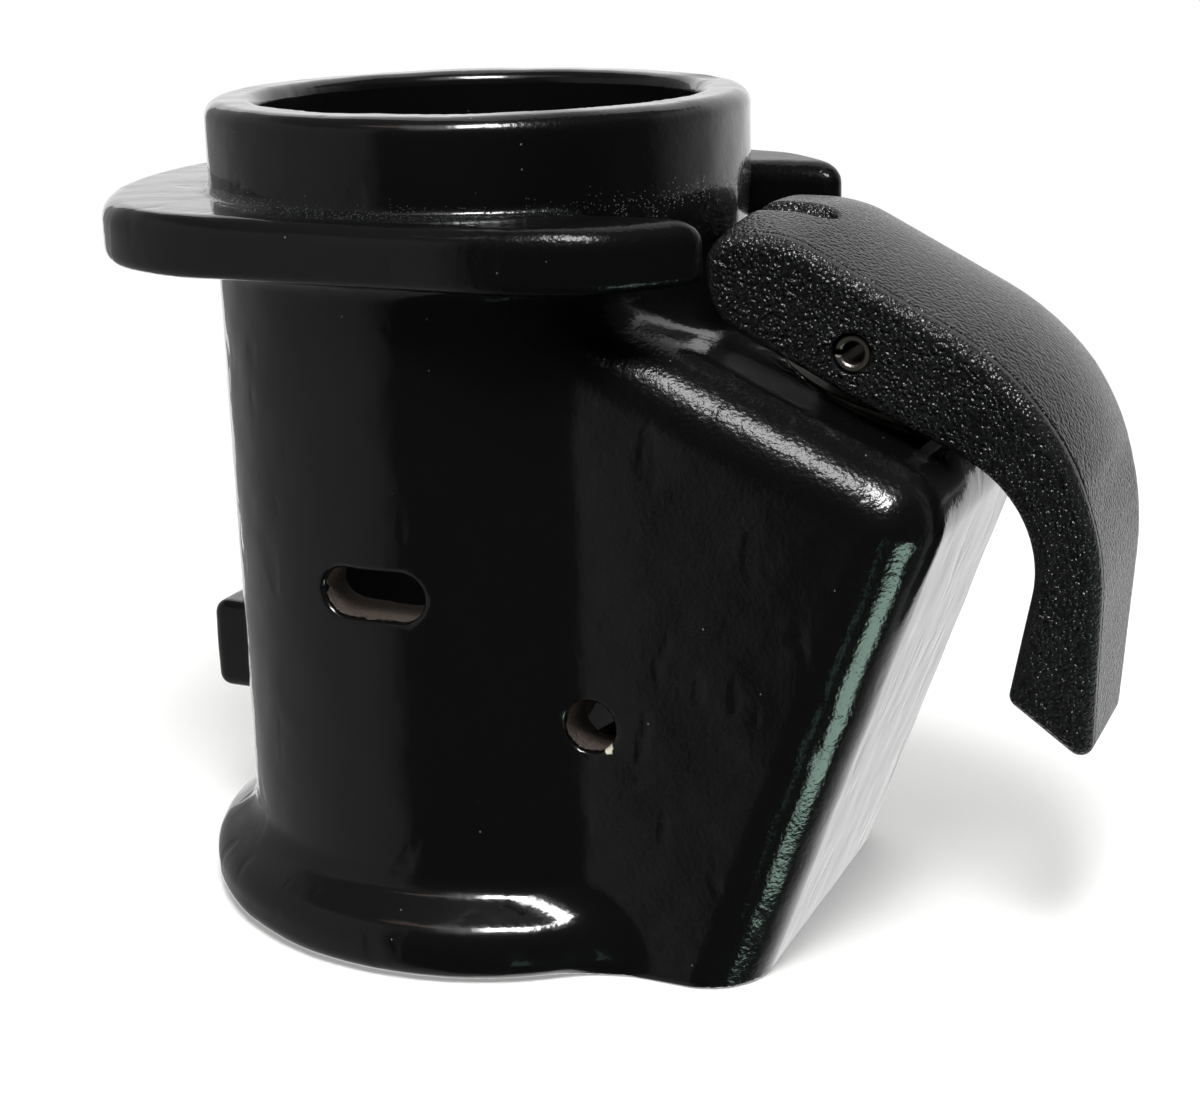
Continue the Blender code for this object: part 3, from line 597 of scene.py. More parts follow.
def buildSkin(name, shape, roughShape, low, high, step, place, mirrored=False, most=188000):
    # a fine net over the shape, thinned where it is flat, with its points and normals from the shape
    points, faces = skinPoints(roughShape, low, high, step, mirrored)
    points = settle(roughShape, points, 3, step * 0.6)
    fine = addObject(name + "_fine", meshFrom(name + "_fine", points, faces, place))
    thin = fine.modifiers.new("thin", "DECIMATE")
    thin.ratio = min(1.0, most / (2 * len(faces)))
    mesh = plainMesh(fine, name)
    bpy.data.objects.remove(fine)
    flat = np.empty(3 * len(mesh.vertices), np.float32)
    mesh.vertices.foreach_get("co", flat)
    points = flat.reshape(-1, 3).astype(float) / mm - place
    points = settle(shape, points, 3, step * 0.5)
    normals = slopeOf(shape, points)
    normals /= np.maximum(np.linalg.norm(normals, axis=1), 1e-6)[:, None]
    mesh.vertices.foreach_set("co", ((points + place) * mm).astype(np.float32).ravel())
    mesh.update()
    mesh.shade_smooth()
    mesh.normals_split_custom_set_from_vertices(normals.astype(np.float32).tolist())
    notes = {}
    shape(*points.T, notes=notes)
    for title, values in notes.items():
        mesh.attributes.new(title, "FLOAT", "POINT").data.foreach_set("value", values.astype(np.float32))
    print(name, len(points), "points from", len(faces), "squares,", len(mesh.polygons), "faces")
    return addObject(name, mesh)


socketPlace = np.array([socketX, 0.0, 0.0])
castingSkin = buildSkin("casting_skin", castingSkinShape, castingShape, [-71.0, -59.0, 0.0], [100.0, 59.0, 155.5],
                        castingSizes["grid"], socketPlace, mirrored=True)
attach(castingSkin, "casting")
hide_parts("body_casting")

leverSkin = buildSkin("lever_skin", leverSkinShape, leverShape,
                      [-28.0, -24.5, -74.5], [46.0, 24.5, 23.0], leverSizes["grid"], np.array(pinPlace) / mm)
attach(leverSkin, "lever")
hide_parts("release_lever")
print("skins done")


def startMaterial(name, roughness, metallic=0.0, ior=1.5):
    material = bpy.data.materials.new(name)
    material.use_nodes = True
    tree = material.node_tree
    shader = tree.nodes["Principled BSDF"]
    shader.inputs["Roughness"].default_value = roughness
    shader.inputs["Metallic"].default_value = metallic
    shader.inputs["IOR"].default_value = ior
    place = addNode(tree, "ShaderNodeTexCoord").outputs["Object"]
    return material, tree, shader, place


springSizes = {
    "Coil Radius": 11.1,
    "Wire Radius": 1.4,
    "Turns": 8.0,
    "Length": 56.4,
    "top": -27.48,                   # the top end, along the slide from the lever's pin
    "pressed": 0.62,                 # its length at full lift, as a share
}


def springTree():
    # a helix whose two end turns lie closed, swept with the wire's round section
    tree = bpy.data.node_groups.new("closed_end_spring", "GeometryNodeTree")
    face = tree.interface
    face.new_socket("Geometry", in_out="OUTPUT", socket_type="NodeSocketGeometry")
    for name in ("Coil Radius", "Wire Radius", "Turns", "Length"):
        face.new_socket(name, in_out="INPUT", socket_type="NodeSocketFloat")
    face.new_socket("Material", in_out="INPUT", socket_type="NodeSocketMaterial")
    given = addNode(tree, "NodeGroupInput").outputs
    line = addNode(tree, "GeometryNodeCurvePrimitiveLine")
    path = addNode(tree, "GeometryNodeResampleCurve", {"Curve": line.outputs[0], "Count": 385})
    share = addNode(tree, "GeometryNodeSplineParameter").outputs["Factor"]
    turned = addNode(tree, "ShaderNodeMath", {0: share, 1: given["Turns"]}, operation="MULTIPLY").outputs[0]
    angle = addNode(tree, "ShaderNodeMath", {0: turned, 1: math.tau}, operation="MULTIPLY").outputs[0]
    places = []
    for side in ("COSINE", "SINE"):
        swing = addNode(tree, "ShaderNodeMath", {0: angle}, operation=side).outputs[0]
        places.append(addNode(tree, "ShaderNodeMath", {0: swing, 1: given["Coil Radius"]}, operation="MULTIPLY").outputs[0])
    wire = addNode(tree, "ShaderNodeMath", {0: given["Wire Radius"], 1: 2.0}, operation="MULTIPLY").outputs[0]
    closed = addNode(tree, "ShaderNodeMath", {0: wire, 1: 3.0}, operation="MULTIPLY").outputs[0]
    spread = addNode(tree, "ShaderNodeMath", {0: given["Length"], 1: closed}, operation="SUBTRACT").outputs[0]
    last = addNode(tree, "ShaderNodeMath", {0: given["Turns"], 1: 1.0}, operation="SUBTRACT").outputs[0]
    # the climb of the closed first turn, of the open turns and of the closed last turn
    climb = given["Wire Radius"]
    for start, end, rise in ((0.0, 1.0, wire), (1.0, last, spread), (last, given["Turns"], wire)):
        part = addNode(tree, "ShaderNodeMapRange", {
            "Value": turned, "From Min": start, "From Max": end, "To Max": rise})
        climb = addNode(tree, "ShaderNodeMath", {0: part.outputs["Result"], 1: climb}, operation="ADD").outputs[0]
    spot = addNode(tree, "ShaderNodeCombineXYZ", {"X": places[0], "Y": places[1], "Z": climb}).outputs[0]
    helix = addNode(tree, "GeometryNodeSetPosition", {"Geometry": path.outputs[0], "Position": spot})
    section = addNode(tree, "GeometryNodeCurvePrimitiveCircle", {"Resolution": 16, "Radius": given["Wire Radius"]})
    tube = addNode(tree, "GeometryNodeCurveToMesh", {
        "Curve": helix.outputs[0], "Profile Curve": section.outputs[0], "Fill Caps": True})
    real = addNode(tree, "GeometryNodeRealizeInstances", {"Geometry": tube.outputs[0]})
    dressed = addNode(tree, "GeometryNodeSetMaterial", {"Geometry": real.outputs[0], "Material": given["Material"]})
    addNode(tree, "NodeGroupOutput", {"Geometry": dressed.outputs[0]})
    return tree


def makeSpring(material):
    seed = addObject("lock_spring_wire_seed", bpy.data.meshes.new("lock_spring_wire_seed"))
    grow = seed.modifiers.new("wind", "NODES")
    tree = springTree()
    grow.node_group = tree
    for socket in tree.interface.items_tree:
        if socket.in_out == "INPUT":
            grow[socket.identifier] = material if socket.name == "Material" else springSizes[socket.name] * (
                1.0 if socket.name == "Turns" else mm)
    mesh = plainMesh(seed, "lock_spring_wire")
    bpy.data.objects.remove(seed)
    upright = Vector((0.0, 0.0, 1.0)).rotation_difference(slideAxis).to_matrix().to_4x4()
    bottom = pinPlace + slideAxis * (springSizes["top"] - springSizes["Length"]) * mm
    mesh.transform(Matrix.Translation(bottom) @ upright)
    mesh.shade_smooth()
    return addObject("lock_spring_wire", mesh)


enamelLook = {
    "black": "#0a0a0b",
    "dust": "#6c7770",
    "bare": "#6a6058",               # sandy iron inside the holes
    "bareDark": "#2a2522",
    "undercoat": "#d8d2bf",
    "coatRoughness": 0.045,
    "peel": 2.4,                     # millimetres between the orange peel's dimples
    "peelHeight": 0.035,
    "dent": 7.0,                     # millimetres between the dents that the sand left
    "dentHeight": 0.1,
    "rough": 0.8,                    # the housing is rougher than the round body
    "roughHeight": 0.1,
    "thinEdge": 0.76,                # share of the gloss that the housing's top edge lacks
    "gritSize": 0.42,
}


def makeEnamel():
    # Thick glossy black enamel brushed over a sand casting: deep black, wobbly mirror reflections
    # with small orange-peel dimples, dust caught in it, and grit round the ring's foot. The two
    # side holes were drilled after it, so their walls are sandy bare iron.
    look = enamelLook
    material, tree, shader, place = startMaterial("gloss_black_enamel", 0.32, ior=1.5)
    shader.inputs["Specular IOR Level"].default_value = 0.06
    shader.inputs["Coat Weight"].default_value = 1.0
    shader.inputs["Coat Roughness"].default_value = look["coatRoughness"]
    shader.inputs["Coat IOR"].default_value = 1.5
    housing = addNode(tree, "ShaderNodeAttribute", attribute_name="housing")
    rough = addNode(tree, "ShaderNodeTexNoise", {"Vector": place, "Scale": perSize(look["rough"]), "Detail": 2.0})
    roughHeight = addNode(tree, "ShaderNodeMath", {
        0: rough.outputs["Fac"], 1: housing.outputs["Fac"]}, operation="MULTIPLY")
    peel = addNode(tree, "ShaderNodeTexNoise", {"Vector": place, "Scale": perSize(look["peel"]), "Detail": 1.0})
    stretch = addNode(tree, "ShaderNodeMapping", {"Vector": place, "Scale": (1.0, 1.0, 0.55)})
    dents = addNode(tree, "ShaderNodeTexNoise", {
        "Vector": stretch.outputs["Vector"], "Scale": perSize(look["dent"]), "Detail": 1.5})
    dentDepth = addNode(tree, "ShaderNodeMapRange", {
        "Value": dents.outputs["Fac"], "From Min": 0.58, "From Max": 0.78, "To Min": 1.0, "To Max": 0.0,
    }, interpolation_type="SMOOTHSTEP")
    grit = addNode(tree, "ShaderNodeTexVoronoi", {"Vector": place, "Scale": perSize(look["gritSize"])})
    gritSpot = addNode(tree, "ShaderNodeMapRange", {
        "Value": grit.outputs["Distance"], "From Min": 0.1, "From Max": 0.4, "To Min": 1.0, "To Max": 0.0})
    gritChance = addNode(tree, "ShaderNodeSeparateColor", {"Color": grit.outputs["Color"]})
    gritAmount = addNode(tree, "ShaderNodeAttribute", attribute_name="grit")
    gritHere = addNode(tree, "ShaderNodeMath", {
        0: gritAmount.outputs["Fac"], 1: gritChance.outputs["Red"]}, operation="GREATER_THAN")
    gritShow = addNode(tree, "ShaderNodeMath", {
        0: gritSpot.outputs["Result"], 1: gritHere.outputs[0]}, operation="MULTIPLY")
    bare = addNode(tree, "ShaderNodeAttribute", attribute_name="bare")
    ragged = addNode(tree, "ShaderNodeTexNoise", {"Vector": place, "Scale": perSize(1.6), "Detail": 4.0})
    bareEdge = addNode(tree, "ShaderNodeMath", {0: bare.outputs["Fac"], 1: ragged.outputs["Fac"]}, operation="ADD")
    bareShow = addNode(tree, "ShaderNodeMapRange", {
        "Value": bareEdge.outputs[0], "From Min": 0.85, "From Max": 1.1}, interpolation_type="SMOOTHSTEP")
    chip = addNode(tree, "ShaderNodeAttribute", attribute_name="chip")
    chipEdge = addNode(tree, "ShaderNodeMath", {0: chip.outputs["Fac"], 1: ragged.outputs["Fac"]}, operation="MULTIPLY")
    chipShow = addNode(tree, "ShaderNodeMapRange", {"Value": chipEdge.outputs[0], "From Min": 0.22, "From Max": 0.3})
    # bumps, from the broadest to the finest
    bump = addNode(tree, "ShaderNodeBump", {"Height": dentDepth.outputs["Result"], "Distance": look["dentHeight"] * mm})
    bump = addNode(tree, "ShaderNodeBump", {
        "Height": peel.outputs["Fac"], "Distance": look["peelHeight"] * mm, "Normal": bump.outputs["Normal"]})
    bump = addNode(tree, "ShaderNodeBump", {
        "Height": roughHeight.outputs[0], "Distance": look["roughHeight"] * mm, "Normal": bump.outputs["Normal"]})
    bump = addNode(tree, "ShaderNodeBump", {
        "Height": gritShow.outputs[0], "Distance": 0.25 * mm, "Normal": bump.outputs["Normal"]})
    sandy = addNode(tree, "ShaderNodeTexNoise", {"Vector": place, "Scale": perSize(0.8), "Detail": 5.0, "Roughness": 0.7})
    sandHeight = addNode(tree, "ShaderNodeMath", {
        0: sandy.outputs["Fac"], 1: bareShow.outputs["Result"]}, operation="MULTIPLY")
    bareBump = addNode(tree, "ShaderNodeBump", {
        "Height": sandHeight.outputs[0], "Distance": 0.5 * mm, "Normal": bump.outputs["Normal"]})
    # colours: enamel, then dust, bare iron and the chip
    specks = addNode(tree, "ShaderNodeTexVoronoi", {"Vector": place, "Scale": perSize(2.6)})
    speckSpot = addNode(tree, "ShaderNodeMapRange", {
        "Value": specks.outputs["Distance"], "From Min": 0.04, "From Max": 0.08, "To Min": 1.0, "To Max": 0.0})
    chance = addNode(tree, "ShaderNodeSeparateColor", {"Color": specks.outputs["Color"]})
    rare = addNode(tree, "ShaderNodeMath", {0: chance.outputs["Red"], 1: 0.94}, operation="GREATER_THAN")
    dust = addNode(tree, "ShaderNodeMath", {0: speckSpot.outputs["Result"], 1: rare.outputs[0]}, operation="MULTIPLY")
    gritDull = addNode(tree, "ShaderNodeMath", {0: gritShow.outputs[0], 1: 0.45}, operation="MULTIPLY")
    dusty = addNode(tree, "ShaderNodeMath", {0: dust.outputs[0], 1: gritDull.outputs[0]}, operation="MAXIMUM")
    tint = addNode(tree, "ShaderNodeMix", {
        0: dusty.outputs[0], "A": colour(look["black"]), "B": colour(look["dust"])}, data_type="RGBA")
    iron = addNode(tree, "ShaderNodeMix", {
        0: sandy.outputs["Fac"], "A": colour(look["bareDark"]), "B": colour(look["bare"])}, data_type="RGBA")
    withIron = addNode(tree, "ShaderNodeMix", {
        0: bareShow.outputs["Result"], "A": tint.outputs["Result"], "B": iron.outputs["Result"]}, data_type="RGBA")
    withChip = addNode(tree, "ShaderNodeMix", {
        0: chipShow.outputs["Result"], "A": withIron.outputs["Result"], "B": colour(look["undercoat"])}, data_type="RGBA")
    thin = addNode(tree, "ShaderNodeAttribute", attribute_name="thin")
    thinShare = addNode(tree, "ShaderNodeMath", {0: thin.outputs["Fac"], 1: look["thinEdge"]}, operation="MULTIPLY")
    dull = addNode(tree, "ShaderNodeMath", {0: bareShow.outputs["Result"], 1: thinShare.outputs[0]}, operation="MAXIMUM")
    glossy = addNode(tree, "ShaderNodeMath", {0: 1.0, 1: dull.outputs[0]}, operation="SUBTRACT")
    tree.links.new(glossy.outputs[0], shader.inputs["Coat Weight"])
    tree.links.new(withChip.outputs["Result"], shader.inputs["Base Color"])
    tree.links.new(bareBump.outputs["Normal"], shader.inputs["Normal"])
    tree.links.new(bareBump.outputs["Normal"], shader.inputs["Coat Normal"])
    return material


nylonLook = {
    # dark: painted shade, laid into the pebbles' valleys and along the crease; light: the pebbles' crowns
    "dark": "#0b0b0c",
    "light": "#1b1b1c",
    "grain": 0.85,                   # millimetres between the side's pebbles
    "fine": 0.65,
    "grainHeight": 0.55,
    "fineHeight": 0.3,
    "creaseIn": 2.7,                 # from the side face to the crease along the back
    "creaseWide": 0.8,
}


def makeNylon():
    # Glass-filled black nylon moulded against an etched tool: a dull pebbled skin, coarse on the
    # flat sides and finer over the back, whose crowns catch small glints. A thin crease follows
    # the back where the two grains meet, and the cored inside is plain.
    look = nylonLook
    material, tree, shader, place = startMaterial("pebbled_black_nylon", 0.24, ior=1.5)
    shader.inputs["Specular IOR Level"].default_value = 0.4
    fromSide = addNode(tree, "ShaderNodeAttribute", attribute_name="fromSide")
    fromBack = addNode(tree, "ShaderNodeAttribute", attribute_name="fromBack")
    grain = addNode(tree, "ShaderNodeAttribute", attribute_name="grain")
    wander = addNode(tree, "ShaderNodeTexNoise", {"Vector": place, "Scale": perSize(1.6), "Detail": 1.0})
    bend = addNode(tree, "ShaderNodeVectorMath", {0: wander.outputs["Color"], "Scale": 0.4 * mm}, operation="SCALE")
    bent = addNode(tree, "ShaderNodeVectorMath", {0: place, 1: bend.outputs["Vector"]}, operation="ADD")
    coarse = addNode(tree, "ShaderNodeTexVoronoi", {
        "Vector": bent.outputs["Vector"], "Scale": perSize(look["grain"]), "Smoothness": 0.4}, feature="SMOOTH_F1")
    fine = addNode(tree, "ShaderNodeTexVoronoi", {
        "Vector": bent.outputs["Vector"], "Scale": perSize(look["fine"]), "Smoothness": 0.3}, feature="SMOOTH_F1")
    onSide = addNode(tree, "ShaderNodeMapRange", {
        "Value": fromBack.outputs["Fac"], "From Min": 0.6, "From Max": 2.6}, interpolation_type="SMOOTHSTEP")
    coarseAmount = addNode(tree, "ShaderNodeMath", {
        0: onSide.outputs["Result"], 1: grain.outputs["Fac"]}, operation="MULTIPLY")
    coarseHeight = addNode(tree, "ShaderNodeMath", {
        0: coarse.outputs["Distance"], 1: coarseAmount.outputs[0]}, operation="MULTIPLY")
    fineHeight = addNode(tree, "ShaderNodeMath", {
        0: fine.outputs["Distance"], 1: grain.outputs["Fac"]}, operation="MULTIPLY")
    offCrease = addNode(tree, "ShaderNodeMath", {0: fromSide.outputs["Fac"], 1: look["creaseIn"]}, operation="SUBTRACT")
    offCrease = addNode(tree, "ShaderNodeMath", {0: offCrease.outputs[0]}, operation="ABSOLUTE")
    creaseLine = addNode(tree, "ShaderNodeMapRange", {
        "Value": offCrease.outputs[0], "From Min": 0.0, "From Max": look["creaseWide"], "To Min": 1.0, "To Max": 0.0,
    }, interpolation_type="SMOOTHSTEP")
    onBack = addNode(tree, "ShaderNodeMapRange", {
        "Value": fromBack.outputs["Fac"], "From Min": 0.5, "From Max": 1.0, "To Min": 1.0, "To Max": 0.0})
    crease = addNode(tree, "ShaderNodeMath", {
        0: creaseLine.outputs["Result"], 1: onBack.outputs["Result"]}, operation="MULTIPLY")
    bump = addNode(tree, "ShaderNodeBump", {"Height": crease.outputs[0], "Distance": 0.5 * mm}, invert=True)
    bump = addNode(tree, "ShaderNodeBump", {
        "Height": coarseHeight.outputs[0], "Distance": look["grainHeight"] * mm, "Normal": bump.outputs["Normal"],
    }, invert=True)
    bump = addNode(tree, "ShaderNodeBump", {
        "Height": fineHeight.outputs[0], "Distance": look["fineHeight"] * mm, "Normal": bump.outputs["Normal"],
    }, invert=True)
    # painted shade: the colour darkens from the pebbles' crowns into their valleys, and into the crease along the back
    pebbleShade = addNode(tree, "ShaderNodeMath", {0: coarseHeight.outputs[0], 1: 1.6}, operation="MULTIPLY")
    paintedShade = addNode(tree, "ShaderNodeMath", {0: pebbleShade.outputs[0], 1: crease.outputs[0]}, operation="MAXIMUM")
    tint = addNode(tree, "ShaderNodeMix", {
        0: paintedShade.outputs[0], "A": colour(look["light"]), "B": colour(look["dark"])}, data_type="RGBA")
    tree.links.new(tint.outputs["Result"], shader.inputs["Base Color"])
    tree.links.new(bump.outputs["Normal"], shader.inputs["Normal"])
    return material


def makeSteel(name, light, dark, roughness, size, metallic=1.0):
    # Turned or rolled steel: fine streaks and cloudy patches in its polish.
    material, tree, shader, place = startMaterial(name, roughness, metallic)
    cloud = addNode(tree, "ShaderNodeTexNoise", {"Vector": place, "Scale": perSize(size), "Detail": 6.0})
    fine = addNode(tree, "ShaderNodeTexNoise", {"Vector": place, "Scale": perSize(0.5), "Detail": 2.0})
    tint = addNode(tree, "ShaderNodeMix", {
        0: cloud.outputs["Fac"], "A": colour(light), "B": colour(dark)}, data_type="RGBA")
    rough = addNode(tree, "ShaderNodeMapRange", {
        "Value": cloud.outputs["Fac"], "To Min": roughness - 0.1, "To Max": roughness + 0.15})
    bump = addNode(tree, "ShaderNodeBump", {"Height": fine.outputs["Fac"], "Distance": 0.01 * mm})
    tree.links.new(tint.outputs["Result"], shader.inputs["Base Color"])
    tree.links.new(rough.outputs["Result"], shader.inputs["Roughness"])
    tree.links.new(bump.outputs["Normal"], shader.inputs["Normal"])
    return material


enamel = makeEnamel()
nylon = makeNylon()
plainSteel = makeSteel("oiled_plain_steel", "#a19c96", "#6e675f", 0.35, 5.0)
zincSteel = makeSteel("zinc_plated_steel", "#cfccc4", "#a3a096", 0.3, 7.0)
springSteel = makeSteel("oil_tempered_wire", "#77767a", "#4c4a4c", 0.36, 4.0)
naturalNylon = makeSteel("natural_nylon", "#dcd5c0", "#cfc5aa", 0.45, 6.0, metallic=0.0)
softRubber = makeSteel("moulded_rubber", "#2a2a2a", "#1c1c1c", 0.7, 3.0, metallic=0.0)
castingSkin.data.materials.append(enamel)
leverSkin.data.materials.append(nylon)
nodeLooks = {
    "grease_plug": zincSteel, "stem_bush": naturalNylon, "stem_wiper": softRubber, "cam_washer": zincSteel,
    "spring_washer": zincSteel, "lock_spring": springSteel, "lock_block": plainSteel, "lock_stem": zincSteel,
    "stem_washer": zincSteel, "stem_nut": zincSteel, "release_lever": nylon, "lever_pin": plainSteel,
    "body_casting": enamel,
}
for nodeName, look in nodeLooks.items():
    node = frame["nodes"][nodeName]
    node.data.materials.clear()
    node.data.materials.append(look)
print("materials done")

springWire = makeSpring(springSteel)
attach(springWire, "casting")
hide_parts("lock_spring")
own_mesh(springWire)
print("spring done")

# Studio: a pale floor, a room that is pale behind the coupler and grey in front, and a softbox
# above the camera.
studio = {
    "azimuth": 23.99,
    "elevation": 17.09,
    "roll": -1.28,
    "distance": 421.17,
    "target": (-3.43, 0.0, 68.21),
    "focal": 2170.5,                 # in pixels of a 1200 wide picture
    "pictureWidth": 1200,
    "sensor": 36.0,
    "floor": "#e8e8e6",
    "floorReach": 500.0,
    "floorLift": 0.3,
}
turnAngle = math.radians(studio["azimuth"])
liftAngle = math.radians(studio["elevation"])
rollAngle = math.radians(studio["roll"])
towardsCamera = Vector((math.sin(turnAngle) * math.cos(liftAngle), -math.cos(turnAngle) * math.cos(liftAngle),
                        math.sin(liftAngle)))
levelRight = Vector((math.cos(turnAngle), math.sin(turnAngle), 0.0))
levelUp = towardsCamera.cross(levelRight)
cameraRight = levelRight * math.cos(rollAngle) + levelUp * math.sin(rollAngle)
cameraUp = levelUp * math.cos(rollAngle) - levelRight * math.sin(rollAngle)
target = Vector(studio["target"]) * mm
cameraData = bpy.data.cameras.new("photo_camera")
cameraData.sensor_fit = "HORIZONTAL"
cameraData.sensor_width = studio["sensor"]
cameraData.lens = studio["sensor"] * studio["focal"] / studio["pictureWidth"]
cameraData.clip_start = 0.01
camera = addObject("photo_camera", cameraData)
axes = Matrix((cameraRight, cameraUp, towardsCamera)).transposed()
camera.matrix_world = Matrix.Translation(target + towardsCamera * studio["distance"] * mm) @ axes.to_4x4()
bpy.context.scene.camera = camera

forward = Vector((-math.sin(turnAngle), math.cos(turnAngle), 0.0))
studioTurn = Matrix((levelRight, forward, Vector((0.0, 0.0, 1.0)))).transposed()


def addStage(name, points, faces, centre, material):
    # part of the studio, laid out as seen from the camera: right, away from it, up
    mesh = bpy.data.meshes.new(name)
    mesh.from_pydata(points, [], faces)
    mesh.materials.append(material)
    item = addObject(name, mesh)
    item.matrix_world = Matrix.Translation(centre) @ studioTurn.to_4x4()
    return item


# the floor is a sheet of pale paper whose far edges fade into the backdrop
floorMaterial, tree, shader, place = startMaterial("matt_paper", 0.9)
shader.inputs["Base Color"].default_value = colour(studio["floor"])
shader.inputs["Specular IOR Level"].default_value = 0.0
distance = addNode(tree, "ShaderNodeVectorMath", {0: place}, operation="LENGTH")
fade = addNode(tree, "ShaderNodeMapRange", {
    "Value": distance.outputs["Value"], "From Min": 0.25, "From Max": 0.45, "To Min": 1.0, "To Max": 0.0,
}, interpolation_type="SMOOTHSTEP")
tree.links.new(fade.outputs["Result"], shader.inputs["Alpha"])
# the paper is lifted to the backdrop's white for the camera, and for mirrors and glass
path = addNode(tree, "ShaderNodeLightPath")
seen = addNode(tree, "ShaderNodeMath", {
    0: path.outputs["Is Camera Ray"], 1: path.outputs["Is Glossy Ray"]}, operation="MAXIMUM")
seen = addNode(tree, "ShaderNodeMath", {
    0: seen.outputs[0], 1: path.outputs["Is Transmission Ray"]}, operation="MAXIMUM")
lift = addNode(tree, "ShaderNodeMath", {0: seen.outputs[0], 1: studio["floorLift"]}, operation="MULTIPLY")
shader.inputs["Emission Color"].default_value = (1.0, 1.0, 1.0, 1.0)
tree.links.new(lift.outputs[0], shader.inputs["Emission Strength"])
reach = studio["floorReach"] * mm
floorCentre = Vector((target.x, 0.0, 0.0))
floor = addStage("floor", [(-reach, -reach, 0), (reach, -reach, 0), (reach, reach, 0), (-reach, reach, 0)],
                 [(0, 1, 2, 3)], floorCentre, floorMaterial)
floor.visible_glossy = False

# grey and dark cards in front of the coupler, which only its reflections see
cardLook = {
    "radius": 1.3,
    # azimuth from the camera in degrees, right positive, and how bright the card is there
    "strip": ((-150, 0.3), (-100, 0.25), (-72, 0.25), (-52, 0.23), (-46, 0.18), (-42, 0.11), (-38, 0.03), (74, 0.03),
              (92, 0.25), (109, 0.55), (126, 1.0)),
    "ceiling": 0.1,
    "ceilingFrom": (34.0, 44.0),
    # azimuth, half width, elevation, half height, colour; they fade over the last half of it
    "kickers": ((46.0, 20.0, -41.0, 8.0, (3.6, 5.2, 4.4, 1.0)), (6.0, 5.0, -34.0, 6.0, (0.3, 0.5, 0.4, 1.0))),
}
cardMaterial = bpy.data.materials.new("studio_cards")
cardMaterial.use_nodes = True
tree = cardMaterial.node_tree
tree.nodes.clear()
place = addNode(tree, "ShaderNodeTexCoord").outputs["Object"]
parts = addNode(tree, "ShaderNodeSeparateXYZ", {"Vector": place})
towards = addNode(tree, "ShaderNodeMath", {0: parts.outputs["Y"], 1: -1.0}, operation="MULTIPLY")
azimuth = addNode(tree, "ShaderNodeMath", {0: parts.outputs["X"], 1: towards.outputs[0]}, operation="ARCTAN2")
azimuth = addNode(tree, "ShaderNodeMath", {0: azimuth.outputs[0]}, operation="DEGREES")
rise = addNode(tree, "ShaderNodeMath", {0: parts.outputs["Z"], 1: cardLook["radius"]}, operation="DIVIDE")
elevation = addNode(tree, "ShaderNodeMath", {0: rise.outputs[0]}, operation="ARCSINE")
elevation = addNode(tree, "ShaderNodeMath", {0: elevation.outputs[0]}, operation="DEGREES")
share = addNode(tree, "ShaderNodeMapRange", {"Value": azimuth.outputs[0], "From Min": -180.0, "From Max": 180.0})
strip = addNode(tree, "ShaderNodeValToRGB", {"Fac": share.outputs["Result"]})
elements = strip.color_ramp.elements
for number, (angle, value) in enumerate(cardLook["strip"]):
    if number < 2:
        element = elements[number]
        element.position = (angle + 180.0) / 360.0
    else:
        element = elements.new((angle + 180.0) / 360.0)
    element.color = (value, value, value, 1.0)
high = addNode(tree, "ShaderNodeMapRange", {
    "Value": elevation.outputs[0], "From Min": cardLook["ceilingFrom"][0], "From Max": cardLook["ceilingFrom"][1]})
room = addNode(tree, "ShaderNodeMix", {
    0: high.outputs["Result"], "A": strip.outputs["Color"], "B": (cardLook["ceiling"],) * 3 + (1.0,)}, data_type="RGBA")
for middleAcross, halfAcross, middleUp, halfUp, tint in cardLook["kickers"]:
    shares = []
    for angle, middle, half in ((azimuth, middleAcross, halfAcross), (elevation, middleUp, halfUp)):
        off = addNode(tree, "ShaderNodeMath", {0: angle.outputs[0], 1: middle}, operation="SUBTRACT")
        off = addNode(tree, "ShaderNodeMath", {0: off.outputs[0]}, operation="ABSOLUTE")
        shares.append(addNode(tree, "ShaderNodeMapRange", {
            "Value": off.outputs[0], "From Min": half * 0.5, "From Max": half, "To Min": 1.0, "To Max": 0.0,
        }, interpolation_type="SMOOTHSTEP").outputs["Result"])
    kicker = addNode(tree, "ShaderNodeMath", {0: shares[0], 1: shares[1]}, operation="MULTIPLY")
    room = addNode(tree, "ShaderNodeMix", {
        0: kicker.outputs[0], "A": room.outputs["Result"], "B": tint}, data_type="RGBA")
glow = addNode(tree, "ShaderNodeEmission", {"Color": room.outputs["Result"]})
addNode(tree, "ShaderNodeOutputMaterial", {"Surface": glow.outputs["Emission"]})
around = [-152.0 + 278.0 * i / 60 for i in range(61)]
upward = [-88.0 + 176.0 * i / 36 for i in range(37)]
points = []
for turn in around:
    for lift in upward:
        a = math.radians(turn)
        e = math.radians(lift)
        points.append((cardLook["radius"] * math.sin(a) * math.cos(e), -cardLook["radius"] * math.cos(a) * math.cos(e),
                       cardLook["radius"] * math.sin(e)))
rows = len(upward)
faces = [(i * rows + j, i * rows + j + 1, (i + 1) * rows + j + 1, (i + 1) * rows + j)
         for i in range(len(around) - 1) for j in range(rows - 1)]
cards = addStage("studio_cards", points, faces, target, cardMaterial)
cards.visible_camera = False
cards.visible_shadow = False

world = bpy.data.worlds.new("studio")
world.use_nodes = True
bpy.context.scene.world = world
world.node_tree.nodes["Background"].inputs["Color"].default_value = (1.0, 1.0, 1.0, 1.0)


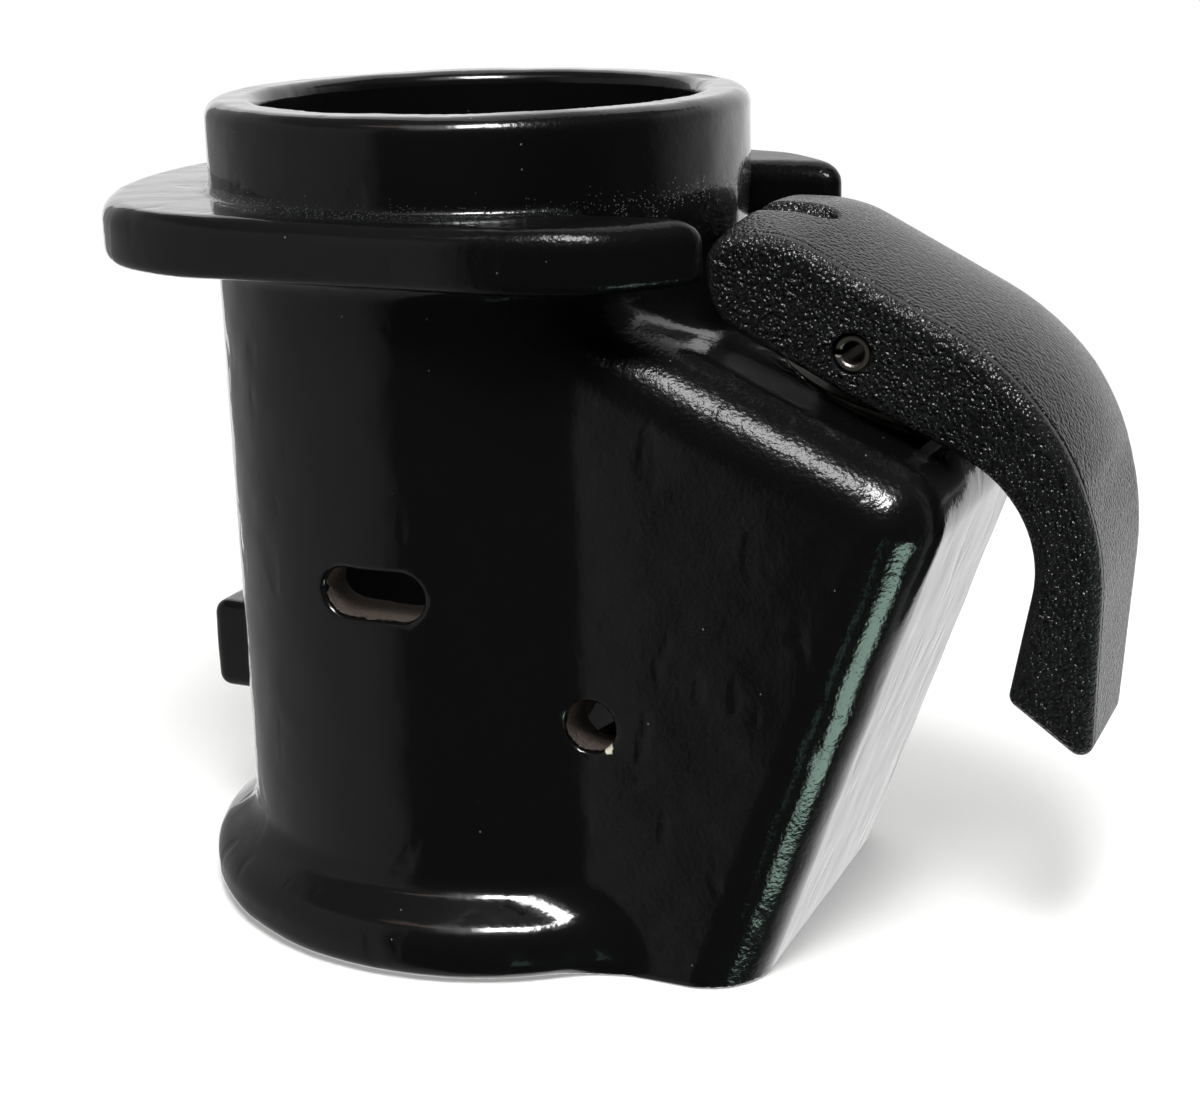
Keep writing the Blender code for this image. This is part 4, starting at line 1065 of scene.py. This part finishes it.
def addPanel(name, azimuth, elevation, distance, width, height, radiance, edge, tint="#ffffff"):
    # an area lamp that faces the coupler
    a = math.radians(azimuth + studio["azimuth"])
    e = math.radians(elevation)
    back = Vector((math.sin(a) * math.cos(e), -math.cos(a) * math.cos(e), math.sin(e)))
    lamp = bpy.data.lights.new(name, "AREA")
    lamp.shape = "RECTANGLE"
    lamp.size = width * mm
    lamp.size_y = height * mm
    lamp.energy = radiance * math.pi * width * height * mm * mm
    lamp.color = colour(tint)[:3]
    item = addObject(name, lamp)
    item.location = target + back * distance * mm
    item.rotation_mode = "QUATERNION"
    item.rotation_quaternion = back.to_track_quat("Z", "Y")
    # the cloth of the box is brightest in the middle and dim along its edges
    lamp.use_nodes = True
    tree = lamp.node_tree
    cloth = addNode(tree, "ShaderNodeNewGeometry").outputs["Parametric"]
    off = addNode(tree, "ShaderNodeVectorMath", {0: cloth, 1: (0.5, 0.5, 0.0)}, operation="SUBTRACT")
    off = addNode(tree, "ShaderNodeVectorMath", {0: off.outputs["Vector"]}, operation="ABSOLUTE")
    off = addNode(tree, "ShaderNodeSeparateXYZ", {"Vector": off.outputs["Vector"]})
    sides = [addNode(tree, "ShaderNodeMapRange", {
        "Value": off.outputs[side], "From Min": 0.5 - edge, "From Max": 0.5, "To Min": 1.0, "To Max": 0.0,
    }, interpolation_type="SMOOTHSTEP").outputs["Result"] for side in ("X", "Y")]
    both = addNode(tree, "ShaderNodeMath", {0: sides[0], 1: sides[1]}, operation="MULTIPLY")
    tree.links.new(both.outputs[0], tree.nodes["Emission"].inputs["Strength"])
    return item


addPanel("softbox_core", 0.0, 57.0, 900.0, 360.0, 360.0, 34.0, 0.28)
addPanel("softbox", 1.0, 57.0, 920.0, 900.0, 680.0, 2.4, 0.4)
addPanel("warm_bounce", -48.0, 56.0, 950.0, 520.0, 200.0, 1.3, 0.4, "#d8c4b8")
# evens out the light on dull surfaces, without a reflection of its own
even = addPanel("even_light", 20.0, 76.0, 1250.0, 1500.0, 1500.0, 1.5, 0.2)
even.visible_glossy = False
print("studio done")

bpy.context.scene.view_settings.view_transform = "Standard"
